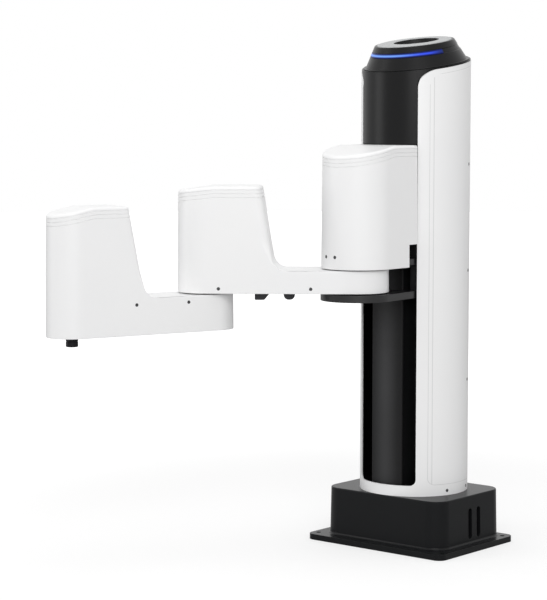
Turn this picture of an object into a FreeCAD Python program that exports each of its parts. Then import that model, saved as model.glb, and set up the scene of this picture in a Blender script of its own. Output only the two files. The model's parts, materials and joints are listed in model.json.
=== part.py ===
import FreeCAD, Part
import math
import os
from types import SimpleNamespace

import Sketcher
from FreeCAD import Placement, Rotation, Vector

# Bench-top four-axis arm with a lifting carriage on a round column.
# Frame: origin at the centre of the foot's underside, +X to the front,
# +Y to the robot's left, +Z up.  Lengths in millimetres, angles in degrees.

SIZES = {
    # Foot and base housing
    "plate_depth": 175.0,
    "plate_width": 230.0,
    "plate_thickness": 8.0,
    "plate_corner": 12.0,
    "bolt_edge_depth": 15.0,
    "bolt_edge_width": 10.0,
    "bolt_hole_diameter": 6.6,
    "column_offset": -7.2,
    "base_roundover": 1.5,
    "base_hollow_slack": 3.0,
    "rear_flange": 3.3,
    "side_flange": 15.75,
    "base_top": 73.5,
    "base_corner": 25.0,
    "base_wall": 4.0,
    "base_roof": 6.0,
    "base_draft": 1.2,
    "foot_blend": 3.0,
    "belly_thickness": 2.0,
    "belly_margin": 1.0,
    "baffle_margin": 4.0,
    "vent_width": 8.5,
    "vent_height": 42.0,
    "vent_floor": 14.0,
    "vent_pitch": 20.0,
    "vent_centre": -6.0,
    "baffle_thickness": 2.0,
    "port_plate_width": 120.0,
    "port_plate_height": 38.0,
    "port_plate_thickness": 2.5,
    "port_stand": 2.0,
    "board_length": 110.0,
    "board_width": 84.0,
    "board_thickness": 1.6,
    "board_lift": 9.0,
    "supply_length": 90.0,
    "supply_width": 60.0,
    "supply_height": 32.0,
    "pillar_radius": 3.0,
    "pillar_edge": 6.0,
    "sink_side": 26.0,
    "sink_height": 10.0,
    "sink_floor": 3.0,
    "fin_gap": 3.2,
    "sink_first": 22.0,
    "sink_second": 66.0,
    "sink_across": 30.0,
    "board_clearance": 7.7,
    "supply_clearance": 14.0,
    "inlet_place": 42.0,
    "inlet_radius": 9.0,
    "inlet_pin_radius": 5.5,
    "network_place": 13.0,
    "network_pitch": 18.0,
    "network_width": 16.0,
    "network_height": 14.0,
    "network_rim": 2.2,
    "signal_place": -24.0,
    "signal_width": 31.0,
    "signal_height": 14.0,
    "signal_slant": 1.5,
    "signal_rim": 2.0,
    "stop_place": -50.0,
    "stop_radius": 7.0,
    "stop_hole_radius": 4.2,
    "socket_depth": 1.6,
    # Column shell and its rear skin
    "column_radius": 74.5,
    "shell_wall": 3.5,
    "skin_depth": 1.5,
    "skin_gap": 0.7,
    "opening_half": 45.4,
    "opening_sill": 14.5,
    "opening_corner": 8.0,
    "shell_crown_radius": 22.0,
    "shell_crown_drop": 4.2,
    "skin_front": 47.2,
    "skin_border": 6.5,
    "skin_corner": 9.0,
    "skin_crease": 4.6,
    "skin_screw_low": 154.0,
    "skin_screw_middle": 304.0,
    "skin_screw_high": 449.0,
    "crease_width": 0.9,
    # Column core
    "foot_ring_height": 9.0,
    "foot_ring_clearance": 0.2,
    "strip_front": 62.4,
    "strip_half": 25.5,
    "strip_thickness": 3.0,
    "beam_half": 24.0,
    "beam_depth": 80.0,
    "beam_wall": 5.0,
    "beam_clearance": 1.0,
    "rail_width": 12.0,
    "rail_height": 6.0,
    "rail_place": 18.0,
    "rail_foot": 26.5,
    "rail_end": 10.0,
    "screw_radius": 6.0,
    "screw_place": 36.8,
    "bearing_block_depth": 28.0,
    "bearing_block_width": 36.0,
    "bearing_block_height": 18.0,
    "screw_play": 0.05,
    "deck_thickness": 8.0,
    "deck_clearance": 1.0,
    "drive_width": 48.0,
    "drive_height": 55.0,
    "stand_height": 28.0,
    "stand_wall": 4.0,
    "coupling_radius": 12.0,
    "coupling_gap": 1.0,
    # Head
    "head_wall": 2.8,
    "head_inset": 0.6,
    "column_rise": 476.5,
    "head_side_gap": 0.8,
    "head_seam": 0.8,
    "head_rise": 110.5,
    "crown_tilt": 9.6,
    "cap_inset": 1.5,
    "cap_lip": 1.4,
    "cap_lip_step": 4.4,
    "cap_lip_edge": 0.6,
    "cap_taper": 14.4,
    "cap_height": 27.5,
    "cap_wall": 3.0,
    "cap_edge": 1.8,
    "light_height": 14.5,
    "light_width": 4.6,
    "light_depth": 2.2,
    "light_start": 21.0,
    "lid_border": 3.0,
    "lid_rise": 0.8,
    "lid_seat": 9.5,
    "dish_radius": 30.0,
    "dish_depth": 6.5,
    # Carriage
    "shoulder_offset": 129.2,
    "carriage_stroke": 250.0,
    "web_inner": 34.5,
    "web_outer": 43.5,
    "web_front": 57.7,
    "web_rise": 83.4,
    "saddle_front": 47.0,
    "saddle_back": 50.0,
    "saddle_length": 150.0,
    "saddle_lift": 32.0,
    "bridge_front": 25.8,
    "bridge_lift": 44.0,
    "bridge_height": 46.0,
    "block_length": 40.0,
    "block_width": 27.0,
    "block_edge": 6.0,
    "block_play": 0.3,
    "block_grip": 2.7,
    "nut_tail": 4.0,
    "nut_radius": 12.0,
    "nut_flange_radius": 14.5,
    "nut_flange_height": 8.0,
    "pivot_gap": 1.5,
    "clevis_thickness": 9.4,
    "clevis_radius": 49.0,
    "mount_gap": 3.8,
    "mount_plate_thickness": 8.0,
    "mount_plate_radius": 44.0,
    # Shoulder housing
    "shoulder_radius": 50.0,
    "shoulder_gap": 1.4,
    "shoulder_height": 162.4,
    "shoulder_headroom": 1.0,
    "shoulder_back": 65.6,
    "shoulder_slope_start": 49.6,
    "shoulder_slope": 12.0,
    "notch_height": 30.4,
    "notch_front": 84.0,
    "shoulder_gear_radius": 36.0,
    "shoulder_gear_height": 34.0,
    "shoulder_motor_width": 56.0,
    "shoulder_motor_height": 72.0,
    # Common housing details
    "housing_wall": 3.5,
    "housing_draft": 0.5,
    "crown_edge": 3.5,
    "groove_first": 4.7,
    "groove_pitch": 5.0,
    "groove_width": 1.0,
    "groove_depth": 0.8,
    "cover_thickness": 2.5,
    "crown_bend": 25.0,
    # Upper arm
    "upper_length": 200.0,
    "upper_angle": -52.3,
    "upper_root_radius": 42.0,
    "upper_nose_radius": 39.6,
    "upper_slab": 30.3,
    "upper_tower": 110.8,
    "upper_screw_far": 182.5,
    "upper_screw_near": 61.0,
    "upper_screw_lift": 6.6,
    "upper_slope_start": 190.0,
    "upper_slope": 7.0,
    "upper_tower_back": 109.1,
    "upper_tower_lean": 8.5,
    "upper_blend": 19.0,
    "elbow_gear_radius": 30.0,
    "elbow_gear_height": 28.0,
    "elbow_motor_width": 48.0,
    "elbow_motor_height": 62.0,
    "shoulder_pin_radius": 16.0,
    "shoulder_pin_rise": 30.0,
    "shoulder_tail_radius": 10.0,
    "shoulder_bearing_radius": 17.0,
    "bearing_seat_depth": 7.0,
    "fitting_radius": 8.2,
    "fitting_drop": 11.0,
    "fitting_near": 90.5,
    "fitting_far": 127.0,
    # Forearm
    "fore_length": 200.0,
    "fore_angle": -18.7,
    "fore_root_radius": 35.0,
    "fore_nose_radius": 33.6,
    "elbow_gap": 1.7,
    "fore_slab": 48.0,
    "fore_tower": 119.5,
    "fore_screw_far": 123.3,
    "fore_screw_near": 47.1,
    "fore_screw_drop": 8.0,
    "fore_slope_start": 183.0,
    "fore_slope": 11.5,
    "fore_tower_back": 108.0,
    "fore_tower_lean": 10.4,
    "fore_blend": 18.0,
    "elbow_pin_radius": 14.0,
    "elbow_pin_rise": 22.0,
    "hub_flange_radius": 24.0,
    "hub_flange_height": 3.0,
    "wrist_gear_radius": 22.0,
    "wrist_gear_height": 30.0,
    "wrist_motor_width": 40.0,
    "wrist_motor_height": 58.0,
    # Output shaft
    "output_radius": 8.0,
    "output_drop": 13.0,
    "output_rise": 24.8,
    "output_neck": 1.0,
    "output_journal_radius": 10.0,
    "output_edge": 0.8,
    "output_bore_radius": 3.0,
    "output_bore_depth": 12.0,
    # Fits and fasteners
    "turning_play": 0.05,
    "bore_clearance": 0.4,
    "tail_gap": 1.0,
    "seat_play": 0.05,
    "screw_head_radius": 2.6,
    "screw_head_sink": 1.4,
    "screw_head_step": 0.3,
    "nose_screw_lift": 16.5,
    "side_screw_height": 6.4,
}


class Size:
    """A length or angle that carries its number together with the sheet formula behind it."""

    def __init__(self, number, formula):
        self.number = number
        self.formula = formula

    def __add__(self, other):
        other = as_size(other)
        return Size(self.number + other.number, f"({self.formula} + {other.formula})")

    def __radd__(self, other):
        return as_size(other) + self

    def __sub__(self, other):
        other = as_size(other)
        return Size(self.number - other.number, f"({self.formula} - {other.formula})")

    def __rsub__(self, other):
        return as_size(other) - self

    def __mul__(self, other):
        other = as_size(other)
        return Size(self.number * other.number, f"({self.formula} * {other.formula})")

    def __rmul__(self, other):
        return as_size(other) * self

    def __truediv__(self, other):
        other = as_size(other)
        return Size(self.number / other.number, f"({self.formula} / {other.formula})")

    def __neg__(self):
        return Size(-self.number, f"(0 - {self.formula})")


def as_size(value):
    return value if isinstance(value, Size) else Size(float(value), repr(float(value)))


def sine(angle):
    return Size(math.sin(math.radians(angle.number)), f"sin({angle.formula})")


def cosine(angle):
    return Size(math.cos(math.radians(angle.number)), f"cos({angle.formula})")


def tangent(angle):
    return sine(angle) / cosine(angle)


def make_sheet(document):
    sheet = document.addObject("Spreadsheet::Sheet", "Sizes")
    for row, (alias, value) in enumerate(SIZES.items(), start=1):
        sheet.set(f"A{row}", alias)
        sheet.set(f"B{row}", str(value))
        sheet.setAlias(f"B{row}", alias)
    document.recompute()
    return SimpleNamespace(**{alias: Size(float(sheet.get(alias)), "Sizes." + alias) for alias in SIZES})


def derive(s):
    """Sizes and heights that follow from the named ones, from the foot upward and then down the arm."""
    s.bolt_spacing_depth = s.plate_depth - 2 * s.bolt_edge_depth
    s.bolt_spacing_width = s.plate_width - 2 * s.bolt_edge_width
    s.base_depth = s.plate_depth + 2 * s.column_offset - 2 * s.rear_flange
    s.base_width = s.plate_width - 2 * s.side_flange
    s.port_height = s.plate_thickness + (s.base_top - s.plate_thickness) * 0.458
    s.opening_floor = s.base_top + s.opening_sill
    s.cap_radius = s.column_radius - s.cap_inset
    s.cap_top_radius = s.cap_radius - s.cap_lip_step - s.cap_taper
    s.lid_radius = s.cap_top_radius - s.lid_border
    s.head_floor = s.base_top + s.column_rise
    s.rim_height = s.head_floor + s.head_rise
    s.beam_top = s.head_floor - s.beam_clearance
    s.rail_floor = s.base_top + s.rail_foot
    s.rail_top = s.beam_top - s.rail_end
    s.shoulder_crown = s.head_floor - s.shoulder_headroom
    s.shoulder_floor = s.shoulder_crown - s.shoulder_height
    s.notch_top = s.shoulder_floor + s.notch_height
    s.web_top = s.shoulder_floor + s.web_rise
    s.upper_deck = s.shoulder_floor - s.shoulder_gap
    s.upper_floor = s.upper_deck - s.upper_slab
    s.upper_crown = s.upper_deck + s.upper_tower
    s.mount_plate_floor = s.upper_deck + s.mount_gap
    s.clevis_floor = s.upper_floor - s.pivot_gap - s.clevis_thickness
    s.saddle_floor = s.clevis_floor + s.saddle_lift
    s.saddle_top = s.saddle_floor + s.saddle_length
    s.bridge_floor = s.saddle_floor + s.bridge_lift
    s.bridge_top = s.bridge_floor + s.bridge_height
    s.block_low = s.saddle_floor + s.block_edge + s.block_length / 2
    s.block_high = s.saddle_top - s.block_edge - s.block_length / 2
    s.fore_deck = s.upper_floor - s.elbow_gap
    s.fore_floor = s.fore_deck - s.fore_slab
    s.fore_crown = s.fore_deck + s.fore_tower
    s.output_floor = s.fore_floor - s.output_drop
    s.output_top = s.fore_floor + s.output_rise
    return s


doc = FreeCAD.newDocument("lifting_arm")
s = derive(make_sheet(doc))
PIECES = []

# Places that several pieces share
COLUMN_X = s.column_offset
SHOULDER_X = s.column_offset + s.shoulder_offset
ELBOW_X = SHOULDER_X + s.upper_length * cosine(s.upper_angle)
ELBOW_Y = s.upper_length * sine(s.upper_angle)
WRIST_X = ELBOW_X + s.fore_length * cosine(s.fore_angle)
WRIST_Y = ELBOW_Y + s.fore_length * sine(s.fore_angle)
FAR = 400.0
TALL = 900.0
TINY = 0.01


def name_of(stem):
    """A document name that no other object has yet."""
    number = 1
    while doc.getObject(f"{stem}_{number}"):
        number += 1
    return f"{stem}_{number}"


def bind(item, path, value):
    """Set one property from a size, and keep it tied to the sheet."""
    value = as_size(value)
    if "." not in path:
        setattr(item, path, value.number)
    if "Sizes." in value.formula:
        item.setExpression(path, value.formula)


def move(item, x=0.0, y=0.0, z=0.0, turn=0.0, about=(0, 0, 1)):
    """Put a piece at its place, turned about an axis through its own origin."""
    x, y, z, turn = (as_size(value) for value in (x, y, z, turn))
    item.Placement = Placement(Vector(x.number, y.number, z.number), Rotation(Vector(*about), turn.number))
    for path, value in (("Base.x", x), ("Base.y", y), ("Base.z", z), ("Rotation.Angle", turn)):
        bind(item, ".Placement." + path, value)
    return item


def bind_place(item, x, y, z):
    """Set where a piece stands and leave its turn as it is."""
    x, y, z = (as_size(value) for value in (x, y, z))
    item.Placement = Placement(Vector(x.number, y.number, z.number), item.Placement.Rotation)
    for path, value in (("Base.x", x), ("Base.y", y), ("Base.z", z)):
        bind(item, ".Placement." + path, value)


def box(low, span):
    """A block from its lowest corner and its three sides."""
    item = doc.addObject("Part::Box", name_of("block"))
    for path, value in zip(("Length", "Width", "Height"), span):
        bind(item, path, value)
    return move(item, *low)


def rod(radius, height, x=0.0, y=0.0, z=0.0, turn=0.0, about=(0, 0, 1)):
    """A round bar that stands on its lower end."""
    item = doc.addObject("Part::Cylinder", name_of("round"))
    bind(item, "Radius", radius)
    bind(item, "Height", height)
    return move(item, x, y, z, turn, about)


def cut(base, *tools):
    """The base less every tool."""
    item = doc.addObject("Part::Cut", name_of("cut"))
    item.Base = base
    item.Tool = tools[0] if len(tools) == 1 else join(*tools)
    return item


def join(*items):
    """Solids fused to one, or kept side by side where they are apart."""
    item = doc.addObject("Part::MultiFuse", name_of("join"))
    item.Shapes = list(items)
    item.Refine = True
    return item


def shared(*items):
    """Only what all the solids have in common."""
    item = doc.addObject("Part::MultiCommon", name_of("shared"))
    item.Shapes = list(items)
    return item


def ring(outer, inner, height, x=0.0, y=0.0, z=0.0):
    """A round tube that stands on its lower end."""
    return cut(rod(outer, height, x, y, z), rod(inner, height, x, y, z))


def new_sketch(stem="outline"):
    return doc.addObject("Sketcher::SketchObject", name_of(stem))


def fix(sketch, constraint, value):
    """Add a constraint with a number and tie it to the sheet."""
    value = as_size(value)
    index = sketch.addConstraint(Sketcher.Constraint(*constraint, value.number))
    if "Sizes." in value.formula:
        sketch.setExpression(f"Constraints[{index}]", value.formula)


def corner_arc(centre, entry, leave, radius):
    """Arc of a rounded corner, and whether it runs the same way round as the outline."""
    first = math.atan2(entry.y - centre.y, entry.x - centre.x)
    last = math.atan2(leave.y - centre.y, leave.x - centre.x)
    sweep = (last - first) % (2 * math.pi)
    outward = sweep < math.pi
    begin, span = (first, sweep) if outward else (last, 2 * math.pi - sweep)
    return Part.ArcOfCircle(Part.Circle(centre, Vector(0, 0, 1), radius), begin, begin + span), outward


def draw_loop(sketch, corners):
    """A closed outline of straight sides through (x, y, radius) corners, each rounded by its radius."""
    points = [Vector(as_size(x).number, as_size(y).number, 0) for x, y, _ in corners]
    radii = [as_size(radius).number for _, _, radius in corners]
    count = len(points)
    starts, ends, arcs = [], [], []
    for index, corner in enumerate(points):
        back = (points[index - 1] - corner).normalize()
        ahead = (points[(index + 1) % count] - corner).normalize()
        half = math.acos(max(-1.0, min(1.0, back.dot(ahead)))) / 2
        reach = radii[index] / math.tan(half)
        ends.append(corner + back * reach)
        starts.append(corner + ahead * reach)
        if radii[index] == 0:
            arcs.append(None)
            continue
        bisector = (back + ahead).normalize()
        centre = corner + bisector * (radii[index] / math.sin(half))
        arcs.append(corner_arc(centre, ends[index], starts[index], radii[index]))
    lines = [sketch.addGeometry(Part.LineSegment(starts[i], ends[(i + 1) % count]), False) for i in range(count)]
    for index, (x, y, radius) in enumerate(corners):
        before, after = lines[index - 1], lines[index]
        if arcs[index] is None:
            sketch.addConstraint(Sketcher.Constraint("Coincident", before, 2, after, 1))
            fix(sketch, ("DistanceX", after, 1), x)
            fix(sketch, ("DistanceY", after, 1), y)
            continue
        shape, outward = arcs[index]
        arc = sketch.addGeometry(shape, False)
        first, last = (1, 2) if outward else (2, 1)
        sketch.addConstraint(Sketcher.Constraint("Tangent", before, 2, arc, first))
        sketch.addConstraint(Sketcher.Constraint("Tangent", arc, last, after, 1))
        fix(sketch, ("Radius", arc), radius)
        tip = sketch.addGeometry(Part.Point(points[index]), True)
        sketch.addConstraint(Sketcher.Constraint("PointOnObject", tip, 1, before))
        sketch.addConstraint(Sketcher.Constraint("PointOnObject", tip, 1, after))
        fix(sketch, ("DistanceX", tip, 1), x)
        fix(sketch, ("DistanceY", tip, 1), y)
    return sketch


def draw_link(sketch, root_radius, nose_radius, length):
    """Two round ends, root at the origin and nose along +X, joined by their common tangents."""
    root, nose, reach = root_radius.number, nose_radius.number, length.number
    lean = math.asin((root - nose) / reach)
    up = Vector(math.sin(lean), math.cos(lean), 0)
    down = Vector(up.x, -up.y, 0)
    far = Vector(reach, 0, 0)
    left = sketch.addGeometry(Part.Arc(up * root, Vector(-root, 0, 0), down * root), False)
    right = sketch.addGeometry(Part.Arc(far + down * nose, far + Vector(nose, 0, 0), far + up * nose), False)
    low = sketch.addGeometry(Part.LineSegment(down * root, far + down * nose), False)
    high = sketch.addGeometry(Part.LineSegment(far + up * nose, up * root), False)
    for before, end, after, start in ((left, 2, low, 1), (low, 2, right, 1), (right, 2, high, 1), (high, 2, left, 1)):
        sketch.addConstraint(Sketcher.Constraint("Tangent", before, end, after, start))
    sketch.addConstraint(Sketcher.Constraint("Coincident", left, 3, -1, 1))
    sketch.addConstraint(Sketcher.Constraint("PointOnObject", right, 3, -1))
    fix(sketch, ("DistanceX", right, 3), length)
    fix(sketch, ("Radius", left), root_radius)
    fix(sketch, ("Radius", right), nose_radius)
    return sketch


def prism(sketch, height, z=0.0, draft=0.0):
    """A sketch on the ground plane carried straight up, its walls leaning in by the draft."""
    item = doc.addObject("Part::Extrusion", name_of("prism"))
    item.Base = sketch
    item.Dir = Vector(0, 0, 1)
    item.Solid = True
    bind(item, "LengthFwd", height)
    if as_size(draft).number:
        bind(item, "TaperAngle", -as_size(draft))
    return move(item, z=z)


def side_prism(corners, half_width):
    """A side outline of (x, z, radius) corners carried across Y, as far to each side."""
    sketch = draw_loop(new_sketch("side"), corners)
    sketch.Placement = Placement(Vector(), Rotation(Vector(1, 0, 0), 90))
    item = doc.addObject("Part::Extrusion", name_of("side_prism"))
    item.Base = sketch
    item.Dir = Vector(0, 1, 0)
    item.Solid = True
    item.Symmetric = True
    bind(item, "LengthFwd", 2 * as_size(half_width))
    return item


def front_prism(corners, x, length):
    """A front outline of (y, z, radius) corners carried along +X from a place."""
    sketch = draw_loop(new_sketch("front"), corners)
    sketch.Placement = Placement(Vector(), Rotation(Vector(1, 1, 1), 120))
    item = doc.addObject("Part::Extrusion", name_of("front_prism"))
    item.Base = sketch
    item.Dir = Vector(1, 0, 0)
    item.Solid = True
    bind(item, "LengthFwd", length)
    return move(item, x=x)


def revolved(corners):
    """A profile of (radius, z, rounding) corners turned once round the Z axis."""
    sketch = draw_loop(new_sketch("profile"), corners)
    sketch.Placement = Placement(Vector(), Rotation(Vector(1, 0, 0), 90))
    item = doc.addObject("Part::Revolution", name_of("turned"))
    item.Source = sketch
    item.Axis = Vector(0, 0, 1)
    item.Base = Vector(0, 0, 0)
    item.Solid = True
    return item


def rounded(item, radius, chosen):
    """Round those edges of a solid for which the test on the edge holds."""
    doc.recompute()
    picked = [index + 1 for index, edge in enumerate(item.Shape.Edges) if chosen(edge)]
    result = doc.addObject("Part::Fillet", name_of("rounded"))
    result.Base = item
    result.Edges = [(index, as_size(radius).number, as_size(radius).number) for index in picked]
    return result


def keep(item, label):
    """Take a finished solid up as a piece of the object."""
    item.Label = label
    PIECES.append(item)
    return item


class Body:
    """One solid grown feature by feature from sketches on its own planes."""

    def __init__(self, label):
        self.item = doc.addObject("PartDesign::Body", name_of("body"))
        keep(self.item, label)

    def sketch(self, plane="XY_Plane", offset=0.0):
        sketch = self.item.newObject("Sketcher::SketchObject", name_of("sketch"))
        found = [feature for feature in self.item.Origin.OriginFeatures if feature.Role == plane]
        sketch.AttachmentSupport = (found[0], [""])
        sketch.MapMode = "FlatFace"
        sketch.AttachmentOffset = Placement(Vector(0, 0, as_size(offset).number), Rotation())
        bind(sketch, ".AttachmentOffset.Base.z", offset)
        return sketch

    def feature(self, kind, sketch, length, draft=0.0, reverse=False, both=False):
        feature = self.item.newObject("PartDesign::" + kind, name_of(kind.lower()))
        feature.Profile = sketch
        bind(feature, "Length", length)
        feature.Reversed = reverse
        if both:
            feature.SideType = "Symmetric"
        if as_size(draft).number:
            bind(feature, "TaperAngle", -as_size(draft))
        sketch.Visibility = False
        return feature

    def pad(self, sketch, length, draft=0.0, both=False):
        return self.feature("Pad", sketch, length, draft, False, both)

    def pocket(self, sketch, length, upward=False):
        """Cut from the sketch's plane, downward unless told otherwise."""
        return self.feature("Pocket", sketch, length, 0.0, upward)

    def round_edges(self, radius, chosen):
        doc.recompute()
        base = self.item.Tip
        names = [f"Edge{index + 1}" for index, edge in enumerate(base.Shape.Edges) if chosen(edge)]
        fillet = self.item.newObject("PartDesign::Fillet", name_of("fillet"))
        fillet.Base = (base, names)
        bind(fillet, "Radius", radius)
        return fillet


def draw_circle(sketch, x, y, radius):
    x, y, radius = as_size(x), as_size(y), as_size(radius)
    centre = Vector(x.number, y.number, 0)
    circle = sketch.addGeometry(Part.Circle(centre, Vector(0, 0, 1), radius.number), False)
    fix(sketch, ("Radius", circle), radius)
    fix(sketch, ("DistanceX", circle, 3), x)
    fix(sketch, ("DistanceY", circle, 3), y)


def draw_rectangle(sketch, x, y, length, width, radius=0.0):
    """A rectangle about a centre, its four corners rounded."""
    half_length, half_width = as_size(length) / 2, as_size(width) / 2
    signs = ((-1, -1), (1, -1), (1, 1), (-1, 1))
    return draw_loop(sketch, [(x + half_length * a, y + half_width * b, radius) for a, b in signs])


def edge_level(edge, height):
    """Whether a whole edge lies at one height."""
    return abs(edge.BoundBox.ZMin - height) < TINY and abs(edge.BoundBox.ZMax - height) < TINY


# Foot and base housing

def build_base_casting():
    """Flanged foot and drafted box cast in one, open below, with vents and a window for the ports."""
    body = Body("base_casting")
    body.pad(draw_rectangle(body.sketch(), 0.0, as_size(0), s.plate_depth, s.plate_width, s.plate_corner),
             s.plate_thickness)
    walls = draw_rectangle(body.sketch(offset=s.plate_thickness), COLUMN_X, as_size(0), s.base_depth, s.base_width,
                           s.base_corner)
    body.pad(walls, s.base_top - s.plate_thickness, s.base_draft)
    level = s.plate_thickness.number
    body.round_edges(s.foot_blend, lambda edge: edge_level(edge, level) and in_base(edge.CenterOfMass))
    top = s.base_top.number
    body.round_edges(s.base_roundover, lambda edge: edge_level(edge, top))
    hollow = draw_rectangle(body.sketch(), COLUMN_X, as_size(0), *base_hollow(0.0))
    body.pocket(hollow, s.base_top - s.base_roof, upward=True)
    holes = body.sketch()
    for along in (-0.5, 0.5):
        for across in (-0.5, 0.5):
            draw_circle(holes, s.bolt_spacing_depth * along, s.bolt_spacing_width * across, s.bolt_hole_diameter / 2)
    body.pocket(holes, s.plate_thickness, upward=True)
    vents = body.sketch("XZ_Plane", offset=-FAR / 2)
    for place in (-0.5, 0.5):
        draw_rectangle(vents, COLUMN_X + s.vent_centre + s.vent_pitch * place, s.vent_floor + s.vent_height / 2,
                       s.vent_width, s.vent_height, s.vent_width * 0.47)
    body.pocket(vents, FAR)
    window = body.sketch("YZ_Plane", offset=-s.plate_depth)
    draw_rectangle(window, as_size(0), s.port_height, s.port_plate_width, s.port_plate_height, 3.0)
    body.pocket(window, s.plate_depth, upward=True)


def in_base(point):
    """Whether a point lies inside the outline of the base box, where its walls meet the foot."""
    across = abs(point.y) < s.base_width.number / 2 + TINY
    return across and abs(point.x - COLUMN_X.number) < s.base_depth.number / 2 + TINY


def base_hollow(margin):
    """Length, width and corner of a part that fits the base's hollow with a margin all round."""
    inset = 2 * s.base_wall + s.base_hollow_slack + 2 * margin
    return s.base_depth - inset, s.base_width - inset, s.base_corner - s.base_wall - margin


def build_belly_plate():
    """Sheet that closes the base from below."""
    body = Body("belly_plate")
    length, width, corner = base_hollow(s.seat_play)
    body.pad(draw_rectangle(body.sketch(offset=s.belly_margin), COLUMN_X, as_size(0), length, width, corner),
             s.belly_thickness)


def build_vent_baffles():
    """Louvred strips behind the two pairs of vents."""
    strips = []
    inner = base_hollow(s.seat_play)[1] / 2
    length = s.vent_pitch + s.vent_width + 2 * s.baffle_margin
    for side in (-1, 1):
        low = inner - s.baffle_thickness if side > 0 else -inner
        strips.append(box((COLUMN_X + s.vent_centre - length / 2, low, s.vent_floor - s.baffle_margin),
                          (length, s.baffle_thickness, s.vent_height + 2 * s.baffle_margin)))
    keep(join(*strips), "vent_baffles")


def rear_face():
    """Where the outside of the port plate lies, just behind the base's rear wall."""
    return COLUMN_X - s.base_depth / 2 - s.port_stand / 2


def build_port_plate():
    """Rear plate that carries the connectors, set into the window of the base."""
    inset = s.seat_play
    half_width, half_height = s.port_plate_width / 2 - inset, s.port_plate_height / 2 - inset
    low, high = s.port_height - half_height, s.port_height + half_height
    corners = [(-half_width, low, 3.0), (half_width, low, 3.0), (half_width, high, 3.0), (-half_width, high, 3.0)]
    plate = front_prism(corners, rear_face() + s.port_stand, s.port_plate_thickness)
    keep(plate, "port_plate")


def round_socket(y, radius, hole_radius, label):
    """Round socket with a blind hole, standing out of the rear plate."""
    at = (rear_face(), y, s.port_height, 90.0, (0, 1, 0))
    keep(cut(rod(radius, s.port_stand, *at), rod(hole_radius, s.socket_depth, *at)), label)


def signal_outline(rim):
    """Slanted socket outline, wider at its top, smaller all round by a rim."""
    half, rise, slant = s.signal_width / 2 - rim, s.signal_height / 2 - rim, s.signal_slant
    low, high = s.port_height - rise, s.port_height + rise
    corner = s.signal_rim
    return [(s.signal_place - half + slant, low, corner), (s.signal_place + half - slant, low, corner),
            (s.signal_place + half, high, corner), (s.signal_place - half, high, corner)]


def build_ports():
    """Power inlet, network sockets, signal socket and stop socket that stand out of the rear plate."""
    outer = rear_face()
    round_socket(s.inlet_place, s.inlet_radius, s.inlet_pin_radius, "power_inlet")
    sockets = []
    width, height, rim = s.network_width, s.network_height, s.network_rim
    for side in (-0.5, 0.5):
        left, low = s.network_place + s.network_pitch * side - width / 2, s.port_height - height / 2
        shell = box((outer, left, low), (s.port_stand, width, height))
        mouth = box((outer, left + rim, low + rim), (s.socket_depth, width - 2 * rim, height - 2 * rim))
        sockets.append(cut(shell, mouth))
    keep(join(*sockets), "network_sockets")
    shell = front_prism(signal_outline(as_size(0.0)), outer, s.port_stand)
    mouth = front_prism(signal_outline(s.signal_rim), outer, s.socket_depth)
    keep(cut(shell, mouth), "signal_socket")
    round_socket(s.stop_place, s.stop_radius, s.stop_hole_radius, "stop_socket")


def heat_sink(x, y, z):
    """Block with three slots down its length."""
    side, gap = s.sink_side, s.fin_gap
    block = box((x, y, z), (side, side, s.sink_height))
    fin = (side - 3 * gap) / 4
    slots = [box((x + fin + (fin + gap) * step, y, z + s.sink_floor), (gap, side, s.sink_height - s.sink_floor))
             for step in (0, 1, 2)]
    return cut(block, *slots)


def build_electronics():
    """Control board on four pillars with two heat sinks, and the power unit beside it."""
    floor = s.belly_margin + s.belly_thickness
    top = floor + s.board_lift + s.board_thickness
    left = COLUMN_X - s.board_length / 2 + s.pillar_radius
    back = s.board_clearance - base_hollow(0.0)[1] / 2
    parts = [box((left, back, floor + s.board_lift), (s.board_length, s.board_width, s.board_thickness))]
    for along in (s.pillar_edge, s.board_length - s.pillar_edge):
        for across in (s.pillar_edge, s.board_width - s.pillar_edge):
            parts.append(rod(s.pillar_radius, s.board_lift, left + along, back + across, floor))
    for along in (s.sink_first, s.sink_second):
        parts.append(heat_sink(left + along, back + s.sink_across, top))
    keep(join(*parts), "control_board")
    keep(box((COLUMN_X - s.supply_length / 2, s.supply_clearance, floor),
             (s.supply_length, s.supply_width, s.supply_height)), "power_unit")


# Column

def crown_height(x, drop):
    """Height of the tilted crown plane at a place along X, less a drop."""
    return s.rim_height - drop - tangent(s.crown_tilt) * (x - COLUMN_X)


def crown_region(front, floor, drop, radius, corner=0.0):
    """Everything under the tilted crown line and behind a front line, its shoulder rounded."""
    back = COLUMN_X - FAR / 2
    corners = [(back, floor, 0.0), (front, floor, corner), (front, crown_height(front, drop), radius),
               (back, crown_height(back, drop), 0.0)]
    return side_prism(corners, FAR / 2)


def opening_front():
    """Where the sides of the column's opening leave the round shell."""
    chord = (s.column_radius.number ** 2 - s.opening_half.number ** 2) ** 0.5
    return COLUMN_X + chord


def column_tube(outer, inner, floor, height):
    return ring(outer, inner, height, COLUMN_X, 0.0, floor)


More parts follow.
